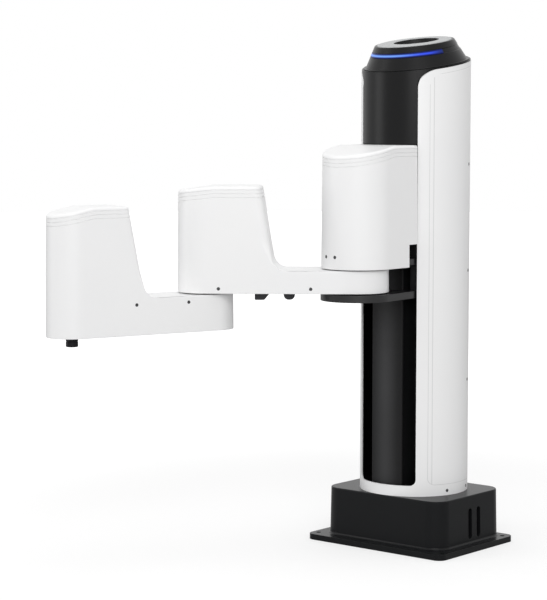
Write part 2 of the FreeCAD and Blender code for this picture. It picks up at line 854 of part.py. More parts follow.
def build_column_shell():
    """Round shell with the front opening, a rounded sloping crown and the bed for its rear skin."""
    tube = column_tube(s.column_radius, s.column_radius - s.shell_wall, s.base_top, TALL)
    body = shared(tube, crown_region(opening_front(), as_size(0.0), s.shell_crown_drop, s.shell_crown_radius))
    sides, floor, corner = s.opening_half, s.opening_floor, s.opening_corner
    window = front_prism([(-sides, floor, corner), (sides, floor, corner), (sides, as_size(TALL), 0.0),
                          (-sides, as_size(TALL), 0.0)], COLUMN_X, s.column_radius * 2)
    bed = shared(column_tube(s.column_radius + 1.0, s.column_radius - s.skin_depth, s.opening_floor, TALL),
                 skin_region(0.0))
    screws = foot_screws(s.screw_head_radius + s.seat_play, s.column_radius + s.base_wall)
    keep(cut(body, window, bed, screws), "column_shell")


def skin_region(inset):
    """Side outline of the rear skin, smaller all round by an inset."""
    front = COLUMN_X + s.skin_front - inset
    return crown_region(front, s.opening_floor + inset, s.shell_crown_drop + s.skin_border + inset,
                        s.shell_crown_radius - s.skin_border, s.skin_corner)


def build_rear_skin():
    """Curved rear and side panel of the column with a crease along each front edge."""
    outer = s.column_radius
    tube = column_tube(outer, outer - s.skin_depth + s.seat_play, s.opening_floor, TALL)
    skin = shared(tube, skin_region(s.skin_gap))
    front = COLUMN_X + s.skin_front - s.skin_crease
    crease = shared(column_tube(outer + 1.0, outer - s.skin_depth / 2, s.opening_floor, TALL),
                    side_prism([(front - s.crease_width, s.opening_floor, 0.0), (front, s.opening_floor, 0.0),
                                (front, as_size(TALL), 0.0), (front - s.crease_width, as_size(TALL), 0.0)], FAR / 2))
    screws = skin_screws(s.screw_head_radius + s.seat_play, s.column_radius + s.base_wall)
    keep(cut(skin, crease, screws), "rear_skin")


def radial_pins(angles, heights, radius, outer, inner, centre=COLUMN_X):
    """Round pins that point at an upright axis, from an inner to an outer radius."""
    pins = []
    for angle in angles:
        out = Vector(math.cos(math.radians(angle)), math.sin(math.radians(angle)), 0)
        turn = Rotation(Vector(0, 0, 1), angle) * Rotation(Vector(0, 1, 0), 90)
        for height in heights:
            pin = rod(radius, as_size(outer) - inner)
            pin.Placement = Placement(Vector(), turn)
            bind_place(pin, centre + as_size(inner) * out.x, as_size(inner) * out.y, height)
            pins.append(pin)
    return join(*pins)


SKIN_SCREW_ANGLES = (112.5, -112.5)
FOOT_SCREW_ANGLES = (74.0, 111.0, 150.0, -74.0, -111.0, -150.0)
NOSE_SCREW_ANGLES = (-21.7, -1.4, 60.0, -60.0)


def skin_screws(radius, outer):
    """Three screws down each side of the rear skin."""
    heights = [s.base_top + lift for lift in (s.skin_screw_low, s.skin_screw_middle, s.skin_screw_high)]
    return radial_pins(SKIN_SCREW_ANGLES, heights, radius, outer, s.column_radius - s.skin_depth + s.seat_play)


def foot_screws(radius, outer):
    """Six screws round the shell's foot."""
    return radial_pins(FOOT_SCREW_ANGLES, [s.base_top + s.side_screw_height], radius, outer,
                       s.column_radius - s.screw_head_sink)


def build_shell_screws():
    """Heads of the screws that hold the rear skin and the shell's foot."""
    outer = s.column_radius - s.screw_head_step
    keep(join(skin_screws(s.screw_head_radius, outer), foot_screws(s.screw_head_radius, outer)), "shell_screws")


def build_column_foot():
    """Flange disc on the base, inside the shell, that the beam stands on."""
    body = Body("column_foot")
    sketch = body.sketch(offset=s.base_top)
    draw_circle(sketch, COLUMN_X, 0.0, s.column_radius - s.shell_wall - s.foot_ring_clearance)
    body.pad(sketch, s.foot_ring_height)


def beam_front():
    return COLUMN_X + s.strip_front - s.strip_thickness


def build_column_beam():
    """Two-chamber extrusion that carries the rails, standing on the foot disc."""
    body = Body("column_beam")
    floor = s.base_top + s.foot_ring_height
    centre = beam_front() - s.beam_depth / 2
    body.pad(draw_rectangle(body.sketch(offset=floor), centre, as_size(0), s.beam_depth, 2 * s.beam_half, 2.0),
             s.beam_top - floor)
    chamber = (s.beam_depth - 3 * s.beam_wall) / 2
    cores = body.sketch(offset=floor)
    for side in (-0.5, 0.5):
        draw_rectangle(cores, centre + (chamber + s.beam_wall) * side, as_size(0), chamber,
                       2 * (s.beam_half - s.beam_wall), 3.0)
    body.pocket(cores, s.beam_top - floor, upward=True)


def build_front_strip():
    """Plain cover strip on the beam's front face, seen between the two slots."""
    body = Body("front_strip")
    floor = s.base_top + s.foot_ring_height
    sketch = body.sketch(offset=floor)
    draw_rectangle(sketch, beam_front() + s.strip_thickness / 2, as_size(0), s.strip_thickness, 2 * s.strip_half, 1.2)
    body.pad(sketch, s.beam_top - floor)


def build_guide_rails():
    """One rail on each side face of the beam."""
    rails = []
    for side in (-1, 1):
        low = s.beam_half if side > 0 else -s.beam_half - s.rail_height
        rails.append(box((COLUMN_X + s.rail_place - s.rail_width / 2, low, s.rail_floor),
                         (s.rail_width, s.rail_height, s.rail_top - s.rail_floor)))
    keep(join(*rails), "guide_rails")


def screw_x():
    return COLUMN_X - s.screw_place


def build_screw_bearings():
    """Lower bearing block on the foot disc and upper block under the deck."""
    floor = s.base_top + s.foot_ring_height
    depth, width, height = s.bearing_block_depth, s.bearing_block_width, s.bearing_block_height
    back = screw_x() - depth / 2
    for label, low in (("lower_screw_bearing", floor), ("upper_screw_bearing", s.beam_top - height)):
        block = box((back, -width / 2, low), (depth - 1.0, width, height))
        keep(cut(block, rod(s.screw_radius + s.screw_play, height, screw_x(), 0.0, low)), label)


def build_deck():
    """Round deck on top of the beam that carries the lift drive."""
    body = Body("drive_deck")
    sketch = body.sketch(offset=s.beam_top)
    draw_circle(sketch, COLUMN_X, 0.0, s.column_radius - s.shell_wall - s.deck_clearance)
    draw_circle(sketch, screw_x(), 0.0, s.screw_radius + 2.0)
    body.pad(sketch, s.deck_thickness)


def build_lift_drive():
    """Square stand over the shaft coupling and the lift motor on top of it."""
    width = s.drive_width
    floor = s.beam_top + s.deck_thickness
    low = (screw_x() - width / 2, -width / 2, floor)
    shell = box(low, (width, width, s.stand_height))
    bore = rod(s.coupling_radius + 3.0, s.stand_height, screw_x(), 0.0, floor)
    window = box((screw_x() - 12.0, -width, floor + s.stand_wall),
                 (24.0, 2 * width, s.stand_height - 2 * s.stand_wall))
    keep(cut(shell, bore, window), "drive_stand")
    body = Body("lift_motor")
    sketch = draw_rectangle(body.sketch(offset=floor + s.stand_height), screw_x(), as_size(0), width, width, 5.0)
    body.pad(sketch, s.drive_height)


def build_lift_screw():
    """Ball screw from the lower block to the coupling, and the coupling under the motor."""
    low = s.base_top + s.foot_ring_height + s.coupling_gap
    middle = s.beam_top + s.deck_thickness + s.coupling_gap
    high = s.beam_top + s.deck_thickness + s.stand_height - s.coupling_gap
    body = Body("ball_screw")
    sketch = body.sketch(offset=low)
    draw_circle(sketch, screw_x(), 0.0, s.screw_radius)
    body.pad(sketch, middle - low)
    body = Body("shaft_coupling")
    sketch = body.sketch(offset=middle)
    draw_circle(sketch, screw_x(), 0.0, s.coupling_radius)
    body.pad(sketch, high - middle)
    height = (middle + high) / 2
    slit = body.sketch("XZ_Plane", offset=-s.coupling_radius)
    draw_rectangle(slit, screw_x() + s.coupling_radius / 2 + 2.0, height, s.coupling_radius, 1.4)
    body.pocket(slit, 2 * s.coupling_radius)


# Head

def build_head_cover():
    """Black sleeve that fills the opening above the carriage and stands up as a collar under the cap."""
    outer = s.column_radius - s.head_inset
    tube = column_tube(outer, outer - s.head_wall, s.head_floor, TALL)
    side = s.opening_half - s.head_side_gap
    front = box((COLUMN_X, -side, as_size(0.0)), (s.column_radius * 2, 2 * side, TALL))
    shell = crown_region(opening_front() + s.head_seam, as_size(0.0), s.shell_crown_drop - s.head_seam,
                         s.shell_crown_radius)
    under_cap = crown_region(COLUMN_X + FAR / 2, as_size(0.0), 0.0, 0.0)
    keep(cut(shared(tube, under_cap), cut(shell, front)), "head_cover")


def tilt(item):
    """Lean a piece that was made about the Z axis onto the crown plane."""
    return move(item, COLUMN_X, 0.0, s.rim_height, s.crown_tilt, (0, 1, 0))


def cap_slope():
    """How much the cap's radius shrinks for each step up its cone."""
    return (s.cap_radius - s.cap_lip_step - s.cap_top_radius) / (s.cap_height - s.cap_lip)


def cone_radius(height):
    return s.cap_radius - s.cap_lip_step - cap_slope() * (height - s.cap_lip)


def build_cap():
    """Hollow cone that crowns the head, with a lip below, a groove for the light and a seat for its lid."""
    wall, top, lip = s.cap_wall, s.cap_height, s.cap_lip
    seat = top - s.lid_seat
    inner_low = s.cap_radius - s.cap_lip_step - wall
    corners = [(inner_low, as_size(0.0), 0.0), (s.cap_radius, as_size(0.0), 0.0),
               (s.cap_radius, lip, s.cap_lip_edge), (cone_radius(lip), lip, 0.0), (cone_radius(top), top, s.cap_edge),
               (s.lid_radius + s.seat_play, top, 0.0), (s.lid_radius + s.seat_play, seat, 0.0),
               (s.lid_radius - wall, seat, 0.0), (s.lid_radius - wall, seat - wall, 0.0)]
    groove = light_profile(s.light_depth + 6.0, 0.05)
    cap = cut(revolved(corners), shared(revolved(groove), front_half(s.light_start - s.seat_play)))
    keep(tilt(cap), "head_cap")


def front_half(start):
    """Block of all that lies ahead of a place along X, in the cap's own frame."""
    return box((start, -FAR / 2, 0.0), (FAR, FAR, FAR))


def light_profile(depth, play):
    """Section of the light band: it follows the cone outside and is flat inside."""
    low, high = s.light_height - play, s.light_height + s.light_width + play
    inner = cone_radius(s.light_height + s.light_width) - s.light_depth - play
    reach = depth - s.light_depth
    return [(inner, low, 0.0), (cone_radius(low) + reach, low, 0.0), (cone_radius(high) + reach, high, 0.0),
            (inner, high, 0.0)]


def build_light_band():
    """Curved light guide set into the front of the cap."""
    band = revolved(light_profile(s.light_depth, 0.0))
    keep(tilt(shared(band, front_half(s.light_start))), "light_band")


def build_cap_lid():
    """Pale round lid in the cap with a shallow dish."""
    low, high = s.cap_height - s.lid_seat, s.cap_height + s.lid_rise
    floor = high - s.dish_depth
    corners = [(as_size(0.0), low, 0.0), (s.lid_radius, low, 0.0), (s.lid_radius, high, 1.0),
               (s.dish_radius, high, 0.8), (s.dish_radius - 1.0, floor, 0.6), (as_size(0.0), floor, 0.0)]
    keep(tilt(revolved(corners)), "cap_lid")


# Housings with a sloping crown

def crown_profile(back, start, reach, crown, slope, drop):
    """Side outline of what lies under a crown that is level at the back and slopes down to the nose."""
    fall = tangent(slope) * (reach - start)
    floor = as_size(0.0)
    if (start - back).number < s.crown_bend.number:
        return [(back, floor, 0.0), (reach, floor, 0.0), (reach, crown - drop - fall, 0.0), (back, crown - drop, 0.0)]
    return [(back, floor, 0.0), (reach, floor, 0.0), (reach, crown - drop - fall, 0.0),
            (start, crown - drop, s.crown_bend), (back, crown - drop, 0.0)]


def under_crown(spec, drop):
    """Everything under a housing's crown, lowered by a drop."""
    corners = crown_profile(spec.back, spec.slope_start, spec.reach, spec.crown, spec.slope, as_size(drop))
    return side_prism(corners, FAR / 4)


def joint_drop():
    """Depth below the crown of the joint between a housing and its cover."""
    return s.groove_first + 2 * s.groove_pitch + s.groove_width / 2


def crown_grooves(spec, core):
    """Three lines cut round a cover, parallel to its crown; the lowest one lies on the joint."""
    strips = []
    for step in (0, 1, 2):
        upper = s.groove_first + s.groove_pitch * step - s.groove_width / 2
        strips.append(cut(under_crown(spec, upper), under_crown(spec, upper + s.groove_width)))
    return cut(join(*strips), core)


def draft_inset(height):
    """How far a drafted wall has come in at some height over its foot."""
    return height * tangent(s.housing_draft)


def lean_line(spec, height):
    """Where the leaning back of a tower stands at some height."""
    return spec.tower_back + (height - spec.deck) * tangent(spec.lean)


def tower_outline(spec, inset):
    """Side outline of a link with its tower: low deck, round blend, leaning back, open top."""
    top = spec.crown + 10.0
    low = spec.floor + inset
    return [(inset - spec.root, low, 0.0), (spec.reach, low, 0.0), (spec.reach, top, 0.0),
            (lean_line(spec, top) + inset, top, 0.0), (spec.tower_back + inset, spec.deck - inset, spec.blend),
            (inset - spec.root, spec.deck - inset, 0.0)]


def link_prism(spec, inset, draft):
    """Outline of a link, smaller all round by an inset, carried up past its crown."""
    outline = draw_link(new_sketch(), spec.root - inset, spec.nose - inset, spec.length)
    return prism(outline, spec.crown + 10.0 - spec.floor, spec.floor, draft)


def link_groove_core(spec):
    """What the grooves of a link's cover leave standing: its walls and leaning back less the groove depth."""
    depth = s.groove_depth
    walls = link_prism(spec, draft_inset(spec.crown - spec.floor) + depth, 0.0)
    top = spec.crown + 20.0
    behind = [(lean_line(spec, spec.deck) + depth, spec.deck, 0.0), (spec.reach, spec.deck, 0.0),
              (spec.reach, top, 0.0), (lean_line(spec, top) + depth, top, 0.0)]
    return shared(walls, side_prism(behind, FAR / 4))


def outer_crown(spec):
    """Test for the outline edges of a cover's top face."""
    crown, start, slope = spec.crown.number, spec.slope_start.number, spec.slope.number
    inner = spec.inner.number

    def surface(x):
        return crown - max(0.0, x - start) * math.tan(math.radians(slope))

    def chosen(edge):
        points = [edge.valueAt(edge.FirstParameter + (edge.LastParameter - edge.FirstParameter) * share)
                  for share in (0.1, 0.5, 0.9)]
        on_top = all(abs(point.z - surface(point.x)) < 0.6 for point in points)
        across = abs(points[0].x - points[2].x) < TINY and abs(points[1].y) < 1.0
        return on_top and not (across and points[1].x > inner)
    return chosen


def split_housing(spec, outside, hollow):
    """Part a hollow housing into its shell and its cover."""
    shell = shared(cut(outside, hollow), under_crown(spec, joint_drop()))
    capped = cut(shared(outside, under_crown(spec, 0.0)), under_crown(spec, joint_drop()))
    cover = cut(capped, shared(hollow, under_crown(spec, s.cover_thickness)))
    return shell, rounded(cover, s.crown_edge, outer_crown(spec))


def build_link(label, cover_label, spec, bores, screws):
    """Shell and cover of a link, made about its root axis and put at its place in the robot."""
    wall = s.housing_wall
    outside = shared(link_prism(spec, as_size(0.0), s.housing_draft), side_prism(tower_outline(spec, 0.0), FAR / 4))
    hollow = shared(link_prism(spec, wall, s.housing_draft), side_prism(tower_outline(spec, wall), FAR / 4))
    shell, cover = split_housing(spec, outside, hollow)
    cover = cut(cover, crown_grooves(spec, link_groove_core(spec)))
    pockets = side_pins(spec, screws, s.screw_head_radius + s.seat_play, s.housing_wall)
    keep(to_link(cut(shell, pockets, *bores), spec), label)
    keep(to_link(cover, spec), cover_label)


def to_link(item, spec):
    """Move what was made about a link's root axis to its place in the robot."""
    return move(item, spec.x, spec.y, 0.0, spec.angle)


def side_pins(spec, places, radius, proud):
    """Round pins across both side walls of a link at (along, height) places, sunk by the head's depth."""
    pins = []
    for along, height in places:
        wall = spec.root - (spec.root - spec.nose) * along / spec.length - draft_inset(as_size(height) - spec.floor)
        inner, outer = wall - s.screw_head_sink, wall + proud
        pins.append(rod(radius, outer - inner, along, outer, height, 90.0, (1, 0, 0)))
        pins.append(rod(radius, outer - inner, along, -inner, height, 90.0, (1, 0, 0)))
    return join(*pins)


def link_spec(**values):
    spec = SimpleNamespace(**values)
    spec.reach = spec.length + spec.nose + 5.0
    spec.back = -spec.root
    spec.inner = spec.tower_back + 40.0
    return spec


def upper_spec():
    return link_spec(root=s.upper_root_radius, nose=s.upper_nose_radius, length=s.upper_length,
                     floor=s.upper_floor, deck=s.upper_deck, crown=s.upper_crown, blend=s.upper_blend,
                     slope_start=s.upper_slope_start, slope=s.upper_slope, tower_back=s.upper_tower_back,
                     lean=s.upper_tower_lean,
                     x=SHOULDER_X, y=as_size(0.0), angle=s.upper_angle)


def fore_spec():
    return link_spec(root=s.fore_root_radius, nose=s.fore_nose_radius, length=s.fore_length,
                     floor=s.fore_floor, deck=s.fore_deck, crown=s.fore_crown, blend=s.fore_blend,
                     slope_start=s.fore_slope_start, slope=s.fore_slope, tower_back=s.fore_tower_back,
                     lean=s.fore_tower_lean,
                     x=ELBOW_X, y=ELBOW_Y, angle=s.fore_angle)


def turned_pin(steps):
    """A round pin of (radius, low, high) steps on the Z axis, stacked from below."""
    corners = [(as_size(0.0), steps[0][1], 0.0)]
    for radius, low, high in steps:
        corners += [(as_size(radius), low, 0.0), (as_size(radius), high, 0.0)]
    corners.append((as_size(0.0), steps[-1][2], 0.0))
    return revolved(corners)


# Upper arm

UPPER_SCREWS = [(along, s.upper_floor + s.upper_screw_lift) for along in (s.upper_screw_far, s.upper_screw_near)]
FORE_SCREWS = [(along, s.fore_deck - s.fore_screw_drop) for along in (s.fore_screw_far, s.fore_screw_near)]


def build_upper_arm():
    """First link: shell, cover, elbow drive, shoulder hub and the two fittings under it."""
    spec = upper_spec()
    inside = s.upper_floor + s.housing_wall
    bores = [rod(s.shoulder_tail_radius + s.seat_play, s.housing_wall * 2, 0.0, 0.0, s.upper_floor - 1.0),
             rod(s.shoulder_pin_radius + s.seat_play, s.housing_wall * 2,
                 0.0, 0.0, s.upper_deck - s.housing_wall - 1.0),
             rod(s.elbow_pin_radius + s.bore_clearance, s.housing_wall * 2, s.upper_length, 0.0, s.upper_floor - 1.0)]
    build_link("upper_arm_shell", "elbow_cover", spec, bores, UPPER_SCREWS)
    heads = side_pins(spec, UPPER_SCREWS, s.screw_head_radius, -s.screw_head_step)
    keep(to_link(heads, spec), "upper_arm_screws")
    gear = ring(s.elbow_gear_radius, s.elbow_pin_radius + s.turning_play, s.elbow_gear_height, s.upper_length, 0.0,
                inside)
    keep(to_link(gear, spec), "elbow_gear_unit")
    width = s.elbow_motor_width
    motor = box((s.upper_length - width / 2, -width / 2, inside + s.elbow_gear_height),
                (width, width, s.elbow_motor_height))
    keep(to_link(join(motor, rod(9.0, 6.0, s.upper_length, 0.0, inside + s.elbow_gear_height
                                 + s.elbow_motor_height)), spec), "elbow_motor")
    hub = turned_pin([(s.shoulder_tail_radius, s.upper_floor - s.bearing_seat_depth - s.tail_gap, inside),
                      (s.hub_flange_radius, inside, inside + s.hub_flange_height),
                      (s.shoulder_pin_radius, inside + s.hub_flange_height, s.upper_deck + s.shoulder_pin_rise)])
    keep(to_link(hub, spec), "shoulder_hub")
    fittings = []
    for along in (s.fitting_near, s.fitting_far):
        fittings.append(rod(s.fitting_radius, s.fitting_drop - 3.0, along, 0.0, s.upper_floor - s.fitting_drop + 3.0))
        fittings.append(rod(s.fitting_radius - 2.5, s.fitting_drop, along, 0.0, s.upper_floor - s.fitting_drop))
    keep(to_link(join(*fittings), spec), "underside_fittings")


# Forearm and output

def build_forearm():
    """Second link: shell, cover, wrist drive and elbow hub."""
    spec = fore_spec()
    inside = s.fore_floor + s.housing_wall
    bores = [rod(s.elbow_pin_radius + s.seat_play, s.housing_wall * 2, 0.0, 0.0, s.fore_deck - s.housing_wall - 1.0),
             rod(s.output_journal_radius + s.bore_clearance, s.housing_wall * 2,
                 s.fore_length, 0.0, s.fore_floor - 1.0)]
    build_link("forearm_shell", "wrist_cover", spec, bores, FORE_SCREWS)
    heads = side_pins(spec, FORE_SCREWS, s.screw_head_radius, -s.screw_head_step)
    keep(to_link(heads, spec), "forearm_screws")
    gear = ring(s.wrist_gear_radius, s.output_journal_radius + s.turning_play, s.wrist_gear_height, s.fore_length,
                0.0, inside)
    keep(to_link(gear, spec), "wrist_gear_unit")
    width = s.wrist_motor_width
    motor = box((s.fore_length - width / 2, -width / 2, inside + s.wrist_gear_height),
                (width, width, s.wrist_motor_height))
    keep(to_link(join(motor, rod(8.0, 5.0, s.fore_length, 0.0, inside + s.wrist_gear_height
                                 + s.wrist_motor_height)), spec), "wrist_motor")
    under = s.fore_deck - s.housing_wall
    hub = turned_pin([(s.hub_flange_radius, under - s.hub_flange_height, under),
                      (s.elbow_pin_radius, under, s.fore_deck + s.elbow_pin_rise)])
    keep(to_link(hub, spec), "elbow_hub")
    body = Body("output_shaft")
    end = body.sketch(offset=s.output_floor)
    draw_circle(end, WRIST_X, WRIST_Y, s.output_radius)
    body.pad(end, s.output_drop - s.output_neck)
    journal = body.sketch(offset=s.fore_floor - s.output_neck)
    draw_circle(journal, WRIST_X, WRIST_Y, s.output_journal_radius)
    body.pad(journal, s.output_rise + s.output_neck)
    bore = body.sketch(offset=s.output_floor)
    draw_circle(bore, WRIST_X, WRIST_Y, s.output_bore_radius)
    body.pocket(bore, s.output_bore_depth, upward=True)
    low = s.output_floor.number
    body.round_edges(s.output_edge, lambda edge: edge_level(edge, low))


# Carriage

def build_saddle():
    """Two side plates inside the column, joined behind the beam by the bridge that holds the nut."""
    back = COLUMN_X - s.saddle_back
    thick = s.web_outer - s.web_inner
    plates = [box((back, low, s.saddle_floor), (s.saddle_back + s.saddle_front, thick, s.saddle_top - s.saddle_floor))
              for low in (s.web_inner, -s.web_outer)]
    bridge = box((back, -s.web_outer, s.bridge_floor),
                 (s.saddle_back - s.bridge_front, 2 * s.web_outer, s.bridge_top - s.bridge_floor))
    bore = rod(s.nut_radius + s.seat_play, s.bridge_top - s.bridge_floor, screw_x(), 0.0, s.bridge_floor)
    keep(cut(join(*plates, bridge), bore), "carriage_saddle")


def build_guide_blocks():
    """Four runner blocks, two on each rail, fixed to the saddle's side plates."""
    blocks = []
    half = s.block_width / 2
    slot = s.rail_width / 2 + s.block_play
    inner = s.beam_half + s.rail_height - s.block_grip
    mouth = s.block_grip + s.block_play
    centre = COLUMN_X + s.rail_place
    for height in (s.block_low, s.block_high):
        floor = height - s.block_length / 2
        for low, start in ((inner, inner), (-s.web_inner, -inner - mouth)):
            block = box((centre - half, low, floor), (s.block_width, s.web_inner - inner, s.block_length))
            groove = box((centre - slot, start, floor), (2 * slot, mouth, s.block_length))
            blocks.append(cut(block, groove))
    keep(join(*blocks), "guide_blocks")


def build_nut():
    """Flanged nut in the bridge, running on the ball screw."""
    low, high = s.bridge_floor - s.nut_tail, s.bridge_top
    sleeve = ring(s.nut_radius, s.screw_radius + s.screw_play, high - low, screw_x(), 0.0, low)
    flange = ring(s.nut_flange_radius, s.screw_radius + s.screw_play, s.nut_flange_height, screw_x(), 0.0, high)
    keep(join(sleeve, flange), "ball_nut")


def bracket_plate(radius, floor, thickness):
    """Plate from the webs to a round nose about the shoulder axis, open in the middle for the beam's strip."""
    outline = draw_link(new_sketch(), radius, s.web_outer, s.shoulder_offset - s.web_front)
    plate = move(prism(outline, thickness), SHOULDER_X, 0.0, floor, 180.0)
    behind = box((SHOULDER_X - FAR, -FAR / 2, floor - 1.0),
                 (COLUMN_X + s.saddle_front - SHOULDER_X + FAR, FAR, thickness + 2.0))
    mouth = box((SHOULDER_X - FAR, -s.web_inner, floor - 1.0),
                (COLUMN_X + s.strip_front + 3.5 - SHOULDER_X + FAR, 2 * s.web_inner, thickness + 2.0))
    return cut(plate, behind, mouth)


def build_bracket():
    """Black bracket bolted to the saddle: two webs, the clevis plate below and the seat plate above."""
    thick = s.web_outer - s.web_inner
    length = s.web_front - s.saddle_front
    webs = [box((COLUMN_X + s.saddle_front, low, s.clevis_floor), (length, thick, s.web_top - s.clevis_floor))
            for low in (s.web_inner, -s.web_outer)]
    lower = bracket_plate(s.clevis_radius, s.clevis_floor, s.clevis_thickness)
    seat_top = s.mount_plate_floor + s.mount_plate_thickness - s.shoulder_floor
    inner = s.shoulder_radius - s.housing_wall - draft_inset(seat_top + s.housing_wall) - s.seat_play
    upper = bracket_plate(inner, s.mount_plate_floor, s.mount_plate_thickness)
    top = s.clevis_floor + s.clevis_thickness
    pocket = rod(s.shoulder_bearing_radius + s.seat_play, s.bearing_seat_depth + 1.0, SHOULDER_X, 0.0,
                 top - s.bearing_seat_depth)
    bore = rod(s.shoulder_pin_radius + 2.0, s.mount_plate_thickness + 2.0, SHOULDER_X, 0.0, s.mount_plate_floor - 1.0)
    keep(cut(join(*webs, lower, upper), pocket, bore), "shoulder_bracket")
    bearing = ring(s.shoulder_bearing_radius, s.shoulder_tail_radius + s.turning_play, s.bearing_seat_depth,
                   SHOULDER_X, 0.0, top - s.bearing_seat_depth)
    keep(bearing, "pivot_bearing")


def shoulder_spec():
    """The shoulder housing in a frame whose origin is at the middle of its flat back."""
    length = s.shoulder_offset - s.shoulder_back
    return SimpleNamespace(root=s.shoulder_radius, nose=s.shoulder_radius, length=length, floor=s.shoulder_floor,
                           crown=s.shoulder_crown, slope_start=s.shoulder_slope_start, slope=s.shoulder_slope,
                           back=as_size(0.0), reach=length + s.shoulder_radius + 5.0, inner=as_size(FAR),
                           x=COLUMN_X + s.shoulder_back, y=as_size(0.0), angle=as_size(0.0))


def behind_block(spec, start, draft_side=FAR):
    """Block of all that lies ahead of a flat back."""
    return box((start, -draft_side / 2, as_size(0.0)), (FAR, draft_side, TALL))


def build_shoulder():
    """White shoulder housing with its cover, gear unit and motor."""
    spec = shoulder_spec()
    wall = s.housing_wall
    outside = shared(link_prism(spec, as_size(0.0), s.housing_draft), behind_block(spec, as_size(0.0)))
    hollow = shared(move(link_prism(spec, wall, s.housing_draft), z=spec.floor - 1.0), behind_block(spec, wall))
    shell, cover = split_housing(spec, outside, hollow)
    core = shared(link_prism(spec, draft_inset(spec.crown - spec.floor) + s.groove_depth, 0.0),
                  behind_block(spec, s.groove_depth))
    cover = cut(cover, crown_grooves(spec, core))
    notch = box((as_size(-10.0), -FAR / 2, spec.floor - 1.0),
                (s.notch_front - s.shoulder_back + 10.0, FAR, s.notch_top - spec.floor + 1.0))
    screws = nose_screws(spec, s.screw_head_radius + s.seat_play, s.housing_wall)
    keep(to_link(cut(shell, notch, screws), spec), "shoulder_housing")
    keep(to_link(cover, spec), "shoulder_cover")
    keep(to_link(nose_screws(spec, s.screw_head_radius, -s.screw_head_step), spec), "shoulder_screws")
    floor = s.mount_plate_floor + s.mount_plate_thickness
    gear = ring(s.shoulder_gear_radius, s.shoulder_pin_radius + s.turning_play, s.shoulder_gear_height, SHOULDER_X,
                0.0, floor)
    keep(gear, "shoulder_gear_unit")
    width = s.shoulder_motor_width
    motor = box((SHOULDER_X - width / 2, -width / 2, floor + s.shoulder_gear_height),
                (width, width, s.shoulder_motor_height))
    keep(join(motor, rod(10.0, 6.0, SHOULDER_X, 0.0, floor + s.shoulder_gear_height + s.shoulder_motor_height)),
         "shoulder_motor")


def nose_screws(spec, radius, proud):
    """Two pairs of screws on the round nose of the shoulder housing."""
    wall = spec.root - draft_inset(s.nose_screw_lift)
    return radial_pins(NOSE_SCREW_ANGLES, [spec.floor + s.nose_screw_lift], radius, wall + proud,
                       wall - s.screw_head_sink, spec.length)


def finish():
    """Recompute, test every object and write each piece to its own file."""
    doc.recompute()
    for item in doc.Objects:
        if "Invalid" in item.State or "Error" in item.State:
            raise RuntimeError(f"{item.Name} ({item.Label}) failed: {item.State}")
    os.makedirs("parts", exist_ok=True)
    for piece in PIECES:
        if piece.Shape.isNull() or not piece.Shape.isValid() or piece.Shape.Volume <= 0:
            raise RuntimeError(f"{piece.Label} has no valid solid")
    for piece in PIECES:
        piece.Shape.exportStep(f"parts/{piece.Label}.step")
        box_size = piece.Shape.BoundBox
        print(f"{piece.Label:22s} {len(piece.Shape.Solids):2d} {piece.Shape.Volume / 1000:8.1f}",
              f"x {box_size.XMin:7.1f} {box_size.XMax:7.1f} y {box_size.YMin:7.1f} {box_size.YMax:7.1f}",
              f"z {box_size.ZMin:7.1f} {box_size.ZMax:7.1f}")


build_base_casting()
build_belly_plate()
build_vent_baffles()
build_port_plate()
build_ports()
build_electronics()
build_column_shell()
build_rear_skin()
build_shell_screws()
build_column_foot()
build_column_beam()
build_front_strip()
build_guide_rails()
build_screw_bearings()
build_deck()
build_lift_drive()
build_lift_screw()
build_head_cover()
build_cap()
build_light_band()
build_cap_lid()
build_saddle()
build_guide_blocks()
build_nut()
build_bracket()
build_shoulder()
build_upper_arm()
build_forearm()
finish()
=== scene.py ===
"""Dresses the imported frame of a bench-top arm robot: a lifting carriage on a round column with two swinging links.

Every length in the classes is in millimetres in the robot's own frame (+X front, +Y left, +Z up) and is turned into
metres only where a mesh is filled.
"""

import json
import logging
import math
from dataclasses import dataclass, field
from enum import Enum
from typing import Callable, Sequence

import bmesh
import bpy
import numpy as np
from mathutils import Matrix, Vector


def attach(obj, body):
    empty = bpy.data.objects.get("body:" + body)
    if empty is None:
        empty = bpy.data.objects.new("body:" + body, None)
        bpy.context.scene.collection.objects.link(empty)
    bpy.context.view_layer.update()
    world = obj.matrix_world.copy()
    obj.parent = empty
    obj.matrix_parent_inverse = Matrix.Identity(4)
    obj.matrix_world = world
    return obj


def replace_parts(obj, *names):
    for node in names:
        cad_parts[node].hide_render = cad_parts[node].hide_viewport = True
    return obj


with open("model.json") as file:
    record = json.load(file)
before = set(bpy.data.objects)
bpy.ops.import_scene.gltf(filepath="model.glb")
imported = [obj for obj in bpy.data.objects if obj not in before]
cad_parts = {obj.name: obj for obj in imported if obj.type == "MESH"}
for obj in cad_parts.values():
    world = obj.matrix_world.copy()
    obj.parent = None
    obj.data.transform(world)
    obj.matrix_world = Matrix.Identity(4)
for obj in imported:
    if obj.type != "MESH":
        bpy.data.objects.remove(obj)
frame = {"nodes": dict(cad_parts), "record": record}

Array = np.ndarray
LOG = logging.getLogger("robot")
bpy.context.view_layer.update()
MM = 0.001
MERGE_REACH = 2e-6
SLIVER_REACH = 1e-6
COLUMN_X = -7.2
COLUMN_RADIUS = 74.5
RIM = 660.5
TILT = 9.6
SHOULDER_X = 122.0
UPPER_ANGLE = -52.3
FORE_ANGLE = -18.7
LINK_LENGTH = 200.0


def cosine_sine(angle: float) -> tuple[float, float]:
    """Cosine and sine of an angle in degrees."""
    return math.cos(math.radians(angle)), math.sin(math.radians(angle))


